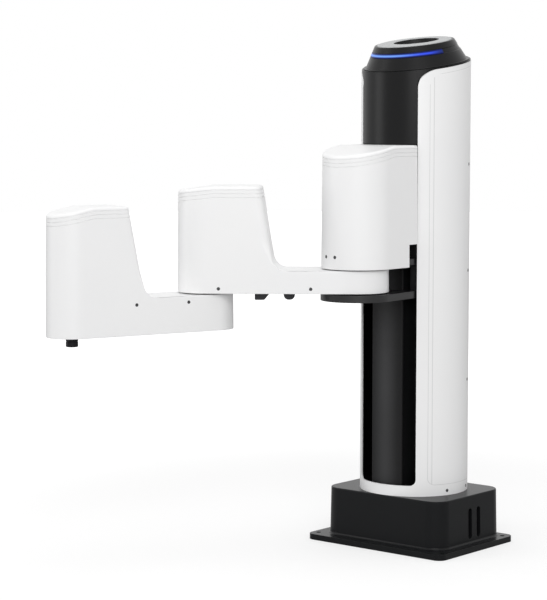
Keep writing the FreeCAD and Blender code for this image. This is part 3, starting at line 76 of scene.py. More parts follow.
def metres(lengths: Sequence[float]) -> list[float]:
    """Lengths in millimetres, turned into metres."""
    return [length * MM for length in lengths]


def turned(points: Array, angle: float, x: float, y: float) -> Array:
    """Turns points about the upright axis by an angle in degrees, then moves them.

    Args:
        points: array whose last axis holds x, y and z.
        angle: turn in degrees, anticlockwise seen from above.
        x: shift along X after the turn.
        y: shift along Y after the turn.

    Returns:
        The new points, in the same array shape.
    """
    c, s = cosine_sine(angle)
    return points @ np.array([[c, s, 0.0], [-s, c, 0.0], [0.0, 0.0, 1.0]]) + np.array([x, y, 0.0])


ELBOW = turned(np.array([LINK_LENGTH, 0.0, 0.0]), UPPER_ANGLE, SHOULDER_X, 0.0)
WRIST = turned(np.array([LINK_LENGTH, 0.0, 0.0]), FORE_ANGLE, ELBOW[0], ELBOW[1])


# ---- Shader tools


def operator(operation: str, swapped: bool = False) -> Callable[..., "Value"]:
    """Makes a method of Value that adds one Math node.

    Args:
        operation: Blender's name of the operation.
        swapped: whether the other number comes first, as where Python calls the method from the right.

    Returns:
        The method. It takes the other number, if the operation has one, and returns the result.
    """

    def apply(self: "Value", other: "Value | float" = 0.0) -> "Value":
        """Adds the node for this number and another."""
        first, second = (other, self) if swapped else (self, other)
        return self.shader.value("ShaderNodeMath", {"operation": operation}, {0: first, 1: second})

    return apply


class Value:
    """One number socket in a material, with the operators that the finishes use.

    A comparison gives one where it holds and zero elsewhere, and most gives the greater of two numbers.
    """

    __add__ = __radd__ = operator("ADD")
    __sub__, __rsub__ = operator("SUBTRACT"), operator("SUBTRACT", swapped=True)
    __mul__ = __rmul__ = operator("MULTIPLY")
    __gt__, __lt__ = operator("GREATER_THAN"), operator("LESS_THAN")
    __abs__, sine, root = operator("ABSOLUTE"), operator("SINE"), operator("SQRT")
    most = operator("MAXIMUM")

    def __init__(self, shader: "Shader", socket: bpy.types.NodeSocket) -> None:
        """Keeps the socket and the material that it belongs to."""
        self.shader = shader
        self.socket = socket

    def ramp(self, low: float, high: float, to_low: float = 0.0, to_high: float = 1.0) -> "Value":
        """Eases from one level to another while this number goes from low to high.

        Args:
            low: number at which the result is to_low.
            high: number at which the result is to_high.
            to_low: result below low.
            to_high: result above high.

        Returns:
            The eased number.
        """
        return self.shader.value("ShaderNodeMapRange", {"interpolation_type": "SMOOTHSTEP"},
                                 {"Value": self, "From Min": low, "From Max": high, "To Min": to_low,
                                  "To Max": to_high})


class Shader:
    """A material with one Principled surface, built from a few kinds of nodes."""

    def __init__(self, name: str, fixed: dict[str, object]) -> None:
        """Makes the material and sets the sockets that are the same all over.

        Args:
            name: name of the material.
            fixed: Principled socket names and their constant values.
        """
        self.material = bpy.data.materials.new(name)
        self.material.use_nodes = True
        self.tree = self.material.node_tree
        self.surface = self.tree.nodes["Principled BSDF"]
        for socket, value in fixed.items():
            self.surface.inputs[socket].default_value = value
        coordinates = self.node("ShaderNodeTexCoord", {}, {})
        self.place = coordinates.outputs["Object"]
        axes = self.node("ShaderNodeSeparateXYZ", {}, {0: self.place})
        self.x, self.y, self.z = (Value(self, axes.outputs[i]) for i in range(3))

    def node(self, kind: str, settings: dict[str, object], values: dict[object, object]) -> bpy.types.Node:
        """Adds any node.

        Args:
            kind: Blender's type name of the node.
            settings: properties that are set before its sockets are used.
            values: numbers, colours, sockets or Values for its inputs, by name or index.

        Returns:
            The node.
        """
        made = self.tree.nodes.new(kind)
        for key, value in settings.items():
            setattr(made, key, value)
        for key, value in values.items():
            self.feed(made.inputs[key], value)
        return made

    def feed(self, socket: bpy.types.NodeSocket, value: object) -> None:
        """Links a socket or Value to an input, or sets its number or colour."""
        if isinstance(value, Value):
            value = value.socket
        if isinstance(value, bpy.types.NodeSocket):
            self.tree.links.new(value, socket)
        else:
            socket.default_value = value

    def value(self, kind: str, settings: dict[str, object], values: dict[object, object], out: int = 0) -> Value:
        """Adds a node and returns one of its outputs as a Value."""
        return Value(self, self.node(kind, settings, values).outputs[out])

    def noise(self, scale: float, detail: float = 2.0, stretch: Sequence[float] = (1.0, 1.0, 1.0)) -> Value:
        """Cloudy noise from 0 to 1 on the object's own metres.

        Args:
            scale: repeats for each metre.
            detail: how many finer layers are added.
            stretch: factors on X, Y and Z; a large one gives streaks that run across its axis.

        Returns:
            The noise.
        """
        mapping = self.node("ShaderNodeMapping", {}, {"Vector": self.place, "Scale": tuple(stretch)})
        return self.value("ShaderNodeTexNoise", {}, {"Vector": mapping.outputs[0], "Scale": scale, "Detail": detail})

    def mix(self, share: Value, first: object, second: object) -> bpy.types.NodeSocket:
        """Colour between two colours by a share from 0 to 1."""
        made = self.node("ShaderNodeMix", {"data_type": "RGBA"}, {0: share, 6: first, 7: second})
        return made.outputs[2]

    def colour(self, value: object) -> None:
        """Feeds the base colour."""
        self.feed(self.surface.inputs["Base Color"], value)

    def roughness(self, value: object) -> None:
        """Feeds the roughness."""
        self.feed(self.surface.inputs["Roughness"], value)

    def bump(self, height: Value, distance: float, strength: float = 1.0) -> None:
        """Turns a height from 0 to 1 into relief.

        Args:
            height: height over the surface.
            distance: how deep a height of 1 is, in metres.
            strength: share of the relief that shows.
        """
        made = self.node("ShaderNodeBump", {}, {"Height": height, "Distance": distance, "Strength": strength})
        self.feed(self.surface.inputs["Normal"], made.outputs[0])


# ---- Finishes


@dataclass(frozen=True)
class Paint:
    """Sprayed or moulded coat with a faint orange-peel relief and a slight drift in tone.

    The colour drifts between the coat and its shade by slow noise, and the relief is fine noise.
    """

    name: str
    coat: tuple[float, float, float]
    shade: tuple[float, float, float]
    rough: float = 0.35
    rough_drift: float = 0.06
    grain: float = 900.0
    relief: float = 0.00002
    clear: float = 0.0
    metal: float = 0.0
    gloss: float = 0.5
    line_colour: tuple[float, float, float] = (0.05, 0.05, 0.052)
    line_depth: float = 0.0
    line_relief: float = 0.0004
    drift_scale: float = 7.0
    drift_share: float = 0.6
    grain_share: float = 0.25

    def fixed(self) -> dict[str, object]:
        """Principled sockets that are the same all over."""
        return {"Metallic": self.metal, "Coat Weight": self.clear, "Coat Roughness": 0.15,
                "Specular IOR Level": self.gloss}

    def lines(self, shader: Shader) -> Value | None:
        """Mask of thin dark lines that the finish shows, or none."""
        return None

    def make(self) -> bpy.types.Material:
        """Builds the material."""
        shader = Shader(self.name, self.fixed())
        drift = shader.noise(self.drift_scale, 3.0)
        fine = shader.noise(self.grain, 2.0)
        share = drift.ramp(0.3, 0.7) * self.drift_share + fine * self.grain_share
        tone = shader.mix(share, (*self.coat, 1.0), (*self.shade, 1.0))
        shader.roughness(drift * self.rough_drift + fine * self.rough_drift + (self.rough - self.rough_drift))
        line = self.lines(shader)
        if line is None:
            shader.colour(tone)
            shader.bump(fine, self.relief)
        else:
            shader.colour(shader.mix(line, tone, (*self.line_colour, 1.0)))
            shader.bump(fine * 0.05 - line * self.line_depth, self.line_relief)
        return shader.material


@dataclass(frozen=True)
class TubePaint(Paint):
    """The shell's coat on the column's tube, with painted shade: black on its inner wall.

    A point is inside where the root of the summed squares of its level distances from the column's axis is less than
    the outer radius by more than the coat's edge.
    """

    radius: float = COLUMN_RADIUS
    edge: float = 2.2

    def lines(self, shader: Shader) -> Value | None:
        """Mask of the inner wall, painted black as shade inside the tube."""
        ahead = shader.x - COLUMN_X * MM
        return (ahead * ahead + shader.y * shader.y).root() < (self.radius - self.edge) * MM


@dataclass(frozen=True)
class SkinPaint(Paint):
    """The shell's coat on the rear skin, with its edge gap drawn as a fine dark joint line and the crease behind its
    front edge as a fine line of painted shade.

    The gap follows the distance from a rounded corner: the root of the summed squares of how far a point lies past
    the corner's centre along X and below it, less the corner's radius. The crease is an upright line at one X.
    """

    line_depth: float = 1.0
    front: float = 40.0
    corner: float = 9.0
    low: float = 88.7
    crown: float = 649.8
    fall: float = TILT
    crease_at: float = 35.0
    gap_fade: tuple[float, float] = (-0.75, -0.35)
    gap_share: float = 0.26
    crease_fade: tuple[float, float] = (0.2, 0.6)
    crease_shade_share: float = 0.24

    def lines(self, shader: Shader) -> Value | None:
        """Mask of the edge gap and of the crease's painted shade."""
        ahead = (shader.x - (self.front - self.corner) * MM).most(0.0)
        below = ((self.low + self.corner) * MM - shader.z).most(0.0)
        reach = (ahead * ahead + below * below).root() - self.corner * MM
        slope = math.tan(math.radians(self.fall))
        above = shader.z + (shader.x - COLUMN_X * MM) * slope - self.crown * MM
        edge = reach.most(above).ramp(*metres(self.gap_fade))
        # The crease line is painted shade: the darkening that a bend in the skin would show.
        crease_shade = abs(shader.x - self.crease_at * MM).ramp(*metres(self.crease_fade), 1.0, 0.0)
        return (edge * self.gap_share).most(crease_shade * self.crease_shade_share)


@dataclass(frozen=True)
class StripPaint(Paint):
    """Dark coat with a painted highlight: lighter along the strip's middle and darker towards its borders, like the
    sheen on a curved face, by the distance from an upright plane.
    """

    half: float = 25.5
    middle: float = -3.0

    def lines(self, shader: Shader) -> Value | None:
        """Mask of the borders, where painted shade darkens the strip away from its painted highlight in the middle."""
        return abs(shader.y - self.middle * MM).ramp(0.0, self.half * MM)


@dataclass(frozen=True)
class LidPaint(Paint):
    """Pale lid whose dish wall is painted black as shade in the recess: black where the depth under the lid's face and
    the distance from the cap's tilted axis both lie within the wall's.
    """

    rim: float = RIM
    tilt: float = TILT
    face: float = 28.3
    dish: float = 29.6
    depth: float = 6.3
    back: float = 4.6
    wall: float = 1.6
    margin: float = 0.35

    def lines(self, shader: Shader) -> Value | None:
        """Mask of the dish's wall, painted black as shade."""
        c, s = cosine_sine(self.tilt)
        ahead, up = shader.x - COLUMN_X * MM, shader.z - self.rim * MM
        height = ahead * s + up * c
        along = ahead * c - up * s + self.back * MM
        distance = (along * along + shader.y * shader.y).root()
        inside = (distance > self.dish * MM) * (distance < (self.dish + self.wall) * MM)
        return inside * (height < (self.face - self.margin) * MM) * (height > (self.face - self.depth) * MM)


@dataclass(frozen=True)
class Ground:
    """Ground or machined metal with fine streaks across one axis and a few darker smears.

    The streaks are noise that changes faster along one axis than along the others, by the factors of its stretch.
    """

    name: str
    metal_colour: tuple[float, float, float]
    dark: tuple[float, float, float]
    rough: float = 0.32
    stretch: tuple[float, float, float] = (1.0, 1.0, 60.0)
    relief: float = 0.00001
    streak_scale: float = 45.0
    smear_scale: float = 18.0

    def make(self) -> bpy.types.Material:
        """Builds the material."""
        shader = Shader(self.name, {"Metallic": 1.0})
        streak = shader.noise(self.streak_scale, 4.0, self.stretch)
        smear = shader.noise(self.smear_scale, 3.0)
        share = streak * 0.5 + smear.ramp(0.35, 0.75) * 0.4
        shader.colour(shader.mix(share, (*self.metal_colour, 1.0), (*self.dark, 1.0)))
        shader.roughness(streak * 0.16 + smear * 0.1 + (self.rough - 0.12))
        shader.bump(streak, self.relief)
        return shader.material


@dataclass(frozen=True)
class Glow:
    """Light guide on the tilted cap: brightest along its middle line and at its front, deep blue at its edges.

    The height over the tilted rim gives the distance from the middle line. The distance along Y from the brightest
    place gives the change of tone, and that from the plane y = 0 gives the fade at both ends.
    """

    name: str
    core: tuple[float, float, float]
    far: tuple[float, float, float]
    edge: tuple[float, float, float]
    rim: float = RIM
    tilt: float = TILT
    middle: float = 16.8
    half: float = 2.7
    brightest: float = -12.0
    tone_fade: tuple[float, float] = (18.0, 62.0)
    end_fade: tuple[float, float] = (47.0, 58.5)

    def make(self) -> bpy.types.Material:
        """Builds the material."""
        shader = Shader(self.name, {"Roughness": 0.3, "Emission Strength": 1.0, "Specular IOR Level": 0.15})
        c, s = cosine_sine(self.tilt)
        height = (shader.x - COLUMN_X * MM) * s + (shader.z - self.rim * MM) * c
        across = abs(height - self.middle * MM).ramp(self.half * 0.1 * MM, self.half * 0.75 * MM)
        along = abs(shader.y - self.brightest * MM).ramp(*metres(self.tone_fade))
        end = abs(shader.y).ramp(*metres(self.end_fade))
        cells = shader.noise(260.0, 1.0).ramp(0.2, 0.8, 0.0, 0.12)
        line = shader.mix(along + cells, (*self.core, 1.0), (*self.far, 1.0))
        colour = shader.mix(across.most(end), line, (*self.edge, 1.0))
        shader.colour(shader.mix(across, (0.01, 0.02, 0.06, 1.0), (0.003, 0.004, 0.01, 1.0)))
        shader.feed(shader.surface.inputs["Emission Color"], colour)
        return shader.material


@dataclass(frozen=True)
class Board:
    """Circuit board: green lacquer with a square grid of paler tracks and small gold pads.

    Tracks are bands of sine waves in X and Y that a slow noise turns on and off.
    """

    name: str
    track_rate: float = 1600.0

    def make(self) -> bpy.types.Material:
        """Builds the material."""
        shader = Shader(self.name, {})
        across = (shader.x * self.track_rate).sine().ramp(0.6, 0.8)
        along = (shader.y * self.track_rate).sine().ramp(0.6, 0.8)
        patch = shader.noise(60.0, 1.0).ramp(0.45, 0.5)
        tracks = across * patch + along * (1.0 - patch)
        pads = (across * along) * shader.noise(140.0, 0.0).ramp(0.5, 0.55)
        green = shader.mix(tracks * 0.8, (0.012, 0.085, 0.03, 1.0), (0.03, 0.17, 0.06, 1.0))
        shader.colour(shader.mix(pads, green, (0.6, 0.45, 0.14, 1.0)))
        shader.roughness(0.45 - pads * 0.2)
        shader.bump(tracks, 0.00008)
        return shader.material


WHITE = {"coat": (0.88, 0.88, 0.88), "shade": (0.855, 0.855, 0.86), "rough": 0.38, "gloss": 0.4}


class Finish(Enum):
    """Every finish on the robot; the value is the recipe that makes its material."""

    WHITE_SHELL = Paint("white_shell_coat", **WHITE)
    # The tube's line colour is painted shade: black on the inner wall, where shade falls inside.
    WHITE_TUBE = TubePaint("white_tube_coat_shaded_inside", **WHITE, line_colour=(0.004, 0.004, 0.0045))
    # The skin's crease line is painted shade; its edge gap is a dark joint line.
    WHITE_SKIN = SkinPaint("white_skin_coat", **WHITE)
    BASE_CAST = Paint("base_powder_coat", (0.0085, 0.009, 0.0098), (0.0065, 0.007, 0.0078), rough=0.3,
                      rough_drift=0.06, grain=1500.0, relief=0.00003, gloss=0.15)
    HEAD_BLACK = Paint("head_satin_black", (0.0055, 0.0055, 0.006), (0.004, 0.004, 0.0044), rough=0.3,
                       grain=1400.0, relief=0.00002, gloss=0.2)
    BRACKET_BLACK = Paint("bracket_anodised", (0.004, 0.004, 0.0045), (0.006, 0.006, 0.0065), rough=0.32,
                          rough_drift=0.08, grain=1800.0, relief=0.00003, gloss=0.6)
    # The strip's lighter middle and darker borders are a painted highlight and painted shade.
    STRIP_DARK = StripPaint("strip_anodised_painted_sheen", (0.046, 0.046, 0.048), (0.03, 0.03, 0.031), rough=0.45,
                            rough_drift=0.1, grain=1200.0, relief=0.00002, gloss=0.2,
                            line_colour=(0.006, 0.006, 0.0065))
    INNER_DARK = Paint("inner_dark_coat", (0.004, 0.004, 0.0045), (0.006, 0.006, 0.0065), rough=0.6,
                       rough_drift=0.12, grain=1000.0, relief=0.00004, gloss=0.15)
    # The lid's line colour is painted shade on the wall of its dish.
    LID_GREY = LidPaint("lid_pale_grey", (0.46, 0.47, 0.475), (0.42, 0.43, 0.435), rough=0.42, grain=1600.0,
                        relief=0.00003, gloss=0.3, line_colour=(0.006, 0.006, 0.006))
    FITTING_BLACK = Paint("fitting_black", (0.012, 0.012, 0.013), (0.018, 0.018, 0.019), rough=0.42,
                          grain=2200.0, relief=0.00004, gloss=0.3)
    STOP_RED = Paint("stop_red", (0.45, 0.02, 0.015), (0.36, 0.015, 0.012), rough=0.4, grain=1500.0)
    SOCKET_BLACK = Paint("socket_black", (0.012, 0.012, 0.013), (0.02, 0.02, 0.021), rough=0.45, grain=1800.0)
    STEEL = Ground("ground_steel", (0.55, 0.56, 0.58), (0.32, 0.33, 0.35), rough=0.3)
    SCREW_DARK = Paint("dark_screw_heads", (0.045, 0.045, 0.046), (0.065, 0.065, 0.066), rough=0.42,
                       rough_drift=0.05, grain=2600.0, relief=0.00001, gloss=0.3)
    SHAFT_DARK = Ground("dark_shaft_steel", (0.035, 0.035, 0.038), (0.012, 0.012, 0.013), rough=0.3,
                        stretch=(1.0, 1.0, 40.0))
    MACHINED = Ground("machined_alloy", (0.5, 0.51, 0.53), (0.34, 0.35, 0.37), rough=0.38,
                      stretch=(30.0, 30.0, 1.0))
    PORT_METAL = Ground("port_plate_metal", (0.22, 0.225, 0.235), (0.12, 0.125, 0.13), rough=0.4,
                        stretch=(1.0, 40.0, 1.0))
    MOTOR_BLACK = Paint("motor_black", (0.02, 0.02, 0.022), (0.03, 0.03, 0.033), rough=0.4, rough_drift=0.1,
                        grain=1300.0, relief=0.00005, metal=0.3)
    LIGHT = Glow("light_guide", (0.18, 0.38, 1.0), (0.03, 0.07, 0.90), (0.001, 0.006, 0.10))
    BOARD = Board("circuit_board")

    def material(self) -> bpy.types.Material:
        """The material, made the first time it is asked for."""
        return bpy.data.materials.get(self.value.name) or self.value.make()


# ---- Mesh tools


@dataclass
class Surface:
    """Collects grids of points, in millimetres, that become one mesh."""

    points: list[Array] = field(default_factory=list)
    quads: list[Array] = field(default_factory=list)
    count: int = 0

    def grid(self, points: Array, closed: bool = False) -> "Surface":
        """Adds a grid: faces run between neighbours along both axes, and round the second axis where it is closed.

        Args:
            points: array of rows, columns and the three coordinates.
            closed: whether the last column joins the first.

        Returns:
            This surface, so that calls can follow one another.
        """
        rows, columns = points.shape[:2]
        numbers = np.arange(rows * columns).reshape(rows, columns) + self.count
        ahead = np.roll(numbers, -1, axis=1)
        if not closed:
            numbers, ahead = numbers[:, :-1], ahead[:, :-1]
        quads = np.stack([numbers[:-1], ahead[:-1], ahead[1:], numbers[1:]], axis=-1)
        self.points.append(points.reshape(-1, 3))
        self.quads.append(quads.reshape(-1, 4))
        self.count += rows * columns
        return self

    def build(self, name: str, finish: Finish, body: str, bevel: float = 0.0,
              sharp: float = 32.0) -> bpy.types.Object:
        """Fills a mesh, merges its doubles, points its faces outwards and dresses it.

        Args:
            name: name of the piece.
            finish: its finish.
            body: the CAD body that it rides on.
            bevel: width of a bevel on its sharp edges, in millimetres, or none.
            sharp: edges that bend by more degrees stay sharp.

        Returns:
            The new object.
        """
        points, quads = np.concatenate(self.points) * MM, np.concatenate(self.quads)
        mesh = bpy.data.meshes.new(name)
        mesh.from_pydata(points, [], quads)
        return dress(name, mesh, finish, body, bevel, sharp)


def across(loop: Array, first: int = 0) -> Array:
    """Grid of straight strips that closes a loop that is alike on both sides of y = 0, from one side to the other.

    Args:
        loop: points from the back's middle along the left side to the nose, then back on the right side.
        first: how many points of each half lie on the straight back edge, which share one strip.

    Returns:
        The grid's points.
    """
    left = loop[first:len(loop) // 2 + 1]
    right = left * np.array([1.0, -1.0, 1.0])
    share = np.linspace(0.0, 1.0, max(2 * first, 2) + 1)[None, :, None]
    return left[:, None] * (1.0 - share) + right[:, None] * share


def dress(name: str, mesh: bpy.types.Mesh, finish: Finish, body: str, bevel: float = 0.0,
          sharp: float = 32.0) -> bpy.types.Object:
    """Cleans a mesh, links it as a piece and lets it ride on a body.

    Args:
        name: name of the piece.
        mesh: its mesh, in metres.
        finish: its finish.
        body: the CAD body that it rides on.
        bevel: width of the bevel in millimetres, or none.
        sharp: edges that bend by more degrees stay sharp.

    Returns:
        The new object.
    """
    work = bmesh.new()
    work.from_mesh(mesh)
    bmesh.ops.remove_doubles(work, verts=work.verts, dist=MERGE_REACH)
    bmesh.ops.dissolve_degenerate(work, edges=work.edges, dist=SLIVER_REACH)
    bmesh.ops.recalc_face_normals(work, faces=work.faces)
    work.to_mesh(mesh)
    work.free()
    mesh.polygons.foreach_set("use_smooth", np.ones(len(mesh.polygons), dtype=bool))
    mesh.set_sharp_from_angle(angle=math.radians(sharp))
    mesh.materials.clear()
    mesh.materials.append(finish.material())
    piece = bpy.data.objects.new(name, mesh)
    bpy.context.scene.collection.objects.link(piece)
    if bevel > 0.0:
        rounding = piece.modifiers.new("edge", "BEVEL")
        rounding.width = bevel * MM
        rounding.segments = 2
        rounding.limit_method = "ANGLE"
        rounding.angle_limit = math.radians(sharp)
        rounding.harden_normals = True
    shading = piece.modifiers.new("even_shading", "WEIGHTED_NORMAL")
    shading.keep_sharp = True
    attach(piece, body)
    LOG.info("%s: %d faces on %s", name, len(mesh.polygons), body)
    return piece


def body_of_node(node: str) -> str:
    """Name of the body that carries a CAD node."""
    bodies = frame["record"]["behaviour"]["bodies"]
    return next(body for body, nodes in bodies.items() if node in nodes)


@dataclass
class VentSlots:
    """Pair of upright slots with round ends through both side walls of the base; middle is from the column's axis."""

    middle: float = -6.0
    pitch: float = 20.0
    floor: float = 14.0
    width: float = 8.5
    height: float = 42.0
    reach: float = 120.0

    def cutter(self) -> bpy.types.Object:
        """Solid that the slots take out of the walls.

        Each slot's outline is two half circles of half its width, one about each end of its straight part.
        """
        half = self.width / 2.0
        work = bmesh.new()
        for place in (-0.5, 0.5):
            upper = arc(half, 0.0, 180.0, 13) + np.array([0.0, self.floor + self.height - half])
            lower = arc(half, 180.0, 360.0, 13) + np.array([0.0, self.floor + half])
            outline = np.concatenate([upper, lower]) + np.array([COLUMN_X + self.middle + self.pitch * place, 0.0])
            rows = [[work.verts.new(Vector((x, y, z)) * MM) for x, z in outline] for y in (-self.reach, self.reach)]
            for first, second in zip(range(len(outline)), np.roll(np.arange(len(outline)), -1)):
                work.faces.new([rows[0][first], rows[0][second], rows[1][second], rows[1][first]])
            for row in rows:
                work.faces.new(row)
        bmesh.ops.recalc_face_normals(work, faces=work.faces)
        mesh = bpy.data.meshes.new("vent_cutter")
        work.to_mesh(mesh)
        work.free()
        return bpy.data.objects.new("vent_cutter", mesh)

    def cut(self, mesh: bpy.types.Mesh) -> bpy.types.Mesh:
        """Takes the slots out of a mesh.

        Args:
            mesh: the base's mesh in metres.

        Returns:
            A new mesh with the slots.
        """
        block, cutter = bpy.data.objects.new("uncut", mesh), self.cutter()
        for made in (block, cutter):
            bpy.context.scene.collection.objects.link(made)
        modifier = block.modifiers.new("slots", "BOOLEAN")
        modifier.operation, modifier.object = "DIFFERENCE", cutter
        slotted = bpy.data.meshes.new_from_object(block.evaluated_get(bpy.context.evaluated_depsgraph_get()))
        for made in (block, cutter):
            bpy.data.objects.remove(made)
        return slotted


def edged_copy(node: str, finish: Finish, bevel: float, sharp: float = 25.0,
               slots: VentSlots | None = None) -> bpy.types.Object:
    """Stands in for a CAD node with a merged copy whose sharp edges are bevelled.

    Args:
        node: CAD node that the piece replaces.
        finish: its finish.
        bevel: bevel width in millimetres.
        sharp: edges that bend by more degrees are bevelled.
        slots: slots that are cut through its walls first.

    Returns:
        The new object.
    """
    mesh = frame["nodes"][node].data.copy()
    work = bmesh.new()
    work.from_mesh(mesh)
    bmesh.ops.remove_doubles(work, verts=work.verts, dist=MERGE_REACH)
    bmesh.ops.dissolve_limit(work, verts=work.verts, edges=work.edges, angle_limit=math.radians(1.0))
    work.to_mesh(mesh)
    work.free()
    mesh = slots.cut(mesh) if slots else mesh
    mesh.name = node + "_edged"
    piece = dress(node + "_edged", mesh, finish, body_of_node(node), bevel, sharp)
    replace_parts(piece, node)
    return piece


def arc(radius: float, first: float, last: float, count: int) -> Array:
    """Points of an arc about the origin, from one angle in degrees to another, as (count, 2)."""
    angle = np.radians(np.linspace(first, last, count))
    return radius * np.stack([np.cos(angle), np.sin(angle)], axis=-1)


def revolve(profile: Array, count: int = 96) -> Array:
    """Grid of a (radius, height) profile carried once round the upright axis.

    Args:
        profile: array of radii and heights from one end of the profile to the other.
        count: how many steps go round.

    Returns:
        Points as profile steps, round steps and coordinates; the last step round joins the first.
    """
    angle = np.linspace(0.0, 2.0 * np.pi, count, endpoint=False)
    radius, height = profile[:, :1], profile[:, 1:]
    return np.stack([radius * np.cos(angle), radius * np.sin(angle), height + 0.0 * angle], axis=-1)


def rounded_profile(corners: Sequence[tuple[float, float, float]], steps: int = 6) -> Array:
    """Open outline through (x, y, rounding) corners, each inner one replaced by an arc that touches both sides.

    The arc's reach from the corner is the rounding divided by the tangent of half the corner's angle.

    Args:
        corners: corner points with their rounding radii; the first and last are kept sharp.
        steps: points on each arc.

    Returns:
        The outline's points as (n, 2).
    """
    points = [np.array(corners[0][:2])]
    for before, here, after in zip(corners, corners[1:], corners[2:]):
        corner, radius = np.array(here[:2]), here[2]
        back = np.array(before[:2]) - corner
        ahead = np.array(after[:2]) - corner
        back, ahead = back / np.linalg.norm(back), ahead / np.linalg.norm(ahead)
        half = math.acos(float(np.clip(back @ ahead, -1.0, 1.0))) / 2.0
        if radius <= 0.0 or half > math.radians(89.5):
            points.append(corner)
            continue
        middle = back + ahead
        centre = corner + middle / np.linalg.norm(middle) * radius / math.sin(half)
        start = corner + back * radius / math.tan(half) - centre
        end = corner + ahead * radius / math.tan(half) - centre
        span = math.acos(float(np.clip(start @ end / radius**2, -1.0, 1.0)))
        for share in np.linspace(0.0, 1.0, steps):
            points.append(centre + (math.sin((1.0 - share) * span) * start + math.sin(share * span) * end)
                          / math.sin(span))
    points.append(np.array(corners[-1][:2]))
    return np.array(points)


# ---- Housings of the shoulder and the two links


@dataclass
class Housing:
    """A link or shoulder housing: a round-ended plan carried up to a crown that slopes towards the nose.

    The plan is two circles joined by their common tangents. A tower stands on its nose end; its back leans, and meets
    the low deck in a hollow curve.
    """

    name: str
    cover_name: str
    body: str
    nodes: tuple[str, str]
    root: float
    nose: float
    length: float
    floor: float
    crown: float
    slope_start: float
    slope: float
    back: float
    corner: float
    place: tuple[float, float, float]
    deck: float | None = None
    lean: float = 0.0
    blend: float = 0.0
    notch_back: float = 0.0
    notch_top: float = 0.0
    draft: float = 0.5
    crown_edge: float = 3.5
    foot_edge: float = 0.7
    deck_edge: float = 1.2
    groove_first: float = 4.7
    groove_pitch: float = 5.0
    groove_width: float = 1.0
    groove_depth: float = 0.8
    edge_steps: int = 10
    side_steps: int = 36
    nose_steps: int = 28
    crown_bend: float = 6.0
    foot_corner: float = 0.8
    corner_rise: float = 42.0
    tower_rise: float = 44.0
    wall_start: float = 2.0
    edge_fade: float = 6.0
    edge_margin: float = 1.0
    groove_lip: float = 0.05
    groove_bevel: float = 0.12
    groove_taper: float = 0.55

    def tilt(self) -> float:
        """Angle between the side walls and the link's own axis, in radians."""
        return math.asin((self.root - self.nose) / self.length)

    def crown_height(self, x: Array) -> Array:
        """Height of the crown over a place along the link: level, then falling, joined by a soft bend."""
        past = x - self.slope_start
        soft = self.crown_bend
        eased = np.where(past < -soft, 0.0, np.where(past > soft, past, (past + soft) ** 2 / (4.0 * soft)))
        return self.crown - eased * math.tan(math.radians(self.slope))

    def back_place(self, height: float) -> float:
        """Where the back stands at a height: a leaning line that a hollow arc joins to the deck, or a notched line."""
        if self.deck is None:
            return self.notch_back if height < self.notch_top - 1e-6 else self.back
        lean = math.radians(self.lean)
        straight = self.back + (height - self.deck) * math.tan(lean)
        half = (math.pi / 2.0 + lean) / 2.0
        reach = self.blend / math.tan(half)
        top = reach * math.cos(lean)
        if height >= self.deck + top or self.blend == 0.0:
            return straight
        centre_x, centre_z = self.back - reach, self.deck + self.blend
        return centre_x + math.sqrt(max(0.0, self.blend**2 - (height - centre_z) ** 2))

    def corner_at(self, height: float) -> float:
        """Rounding of the tower's back corners at a height: it grows from the deck upwards."""
        if self.deck is None:
            return self.corner
        share = min(1.0, max(0.0, (height - self.deck) / self.corner_rise))
        return self.foot_corner + (self.corner - self.foot_corner) * share * share * (3.0 - 2.0 * share)

    def half_loop(self, back: float | None, corner: float, inset: Array | float) -> Array:
        """Left half of the plan outline from the back's middle to the nose's tip.

        Args:
            back: where the straight back edge stands, or None for the round root end.
            corner: rounding between the back edge and the side.
            inset: how far the outline is drawn in, one number or one for each point.

        Returns:
            Points as (n, 2); the same n for both kinds of back.
        """
        tilt = self.tilt()
        normal = np.array([math.sin(tilt), math.cos(tilt)])
        inset = np.broadcast_to(np.asarray(inset, dtype=float), (self.half_count(),))[:, None]
        n_edge, n_side = self.edge_steps, self.side_steps
        if back is None:
            start = self.root * math.sin(tilt)
            angles = np.radians(np.linspace(180.0, 90.0 - math.degrees(tilt), 2 * n_edge))
            unit = np.stack([np.cos(angles), np.sin(angles)], axis=-1)
            head, head_normal = unit * self.root, unit
        else:
            centre_x = back + corner
            centre_y = (self.root - centre_x * math.sin(tilt) - corner) / math.cos(tilt)
            edge = np.stack([np.full(n_edge, back), np.linspace(0.0, centre_y, n_edge)], axis=-1)
            angles = np.radians(np.linspace(180.0, 90.0 - math.degrees(tilt), n_edge + 1)[1:])
            unit = np.stack([np.cos(angles), np.sin(angles)], axis=-1)
            head = np.concatenate([edge, np.array([centre_x, centre_y]) + unit * corner])
            head_normal = np.concatenate([np.tile([-1.0, 0.0], (n_edge, 1)), unit])
            start = head[-1, 0]
        end = self.length + self.nose * math.sin(tilt)
        along = np.linspace(max(start, self.notch_back + self.corner), end, n_side + 1)[1:]
        side = np.stack([along, (self.root - along * math.sin(tilt)) / math.cos(tilt)], axis=-1)
        angles = np.radians(np.linspace(90.0 - math.degrees(tilt), 0.0, self.nose_steps + 1)[1:])
        tip_unit = np.stack([np.cos(angles), np.sin(angles)], axis=-1)
        tip = np.array([self.length, 0.0]) + tip_unit * self.nose
        points = np.concatenate([head, side, tip])
        normals = np.concatenate([head_normal, np.tile(normal, (n_side, 1)), tip_unit])
        drawn = points - normals * inset
        drawn[-1, 1] = 0.0
        drawn[0, 1] = 0.0
        return drawn

    def half_count(self) -> int:
        """How many points half an outline has."""
        return 2 * self.edge_steps + self.side_steps + self.nose_steps

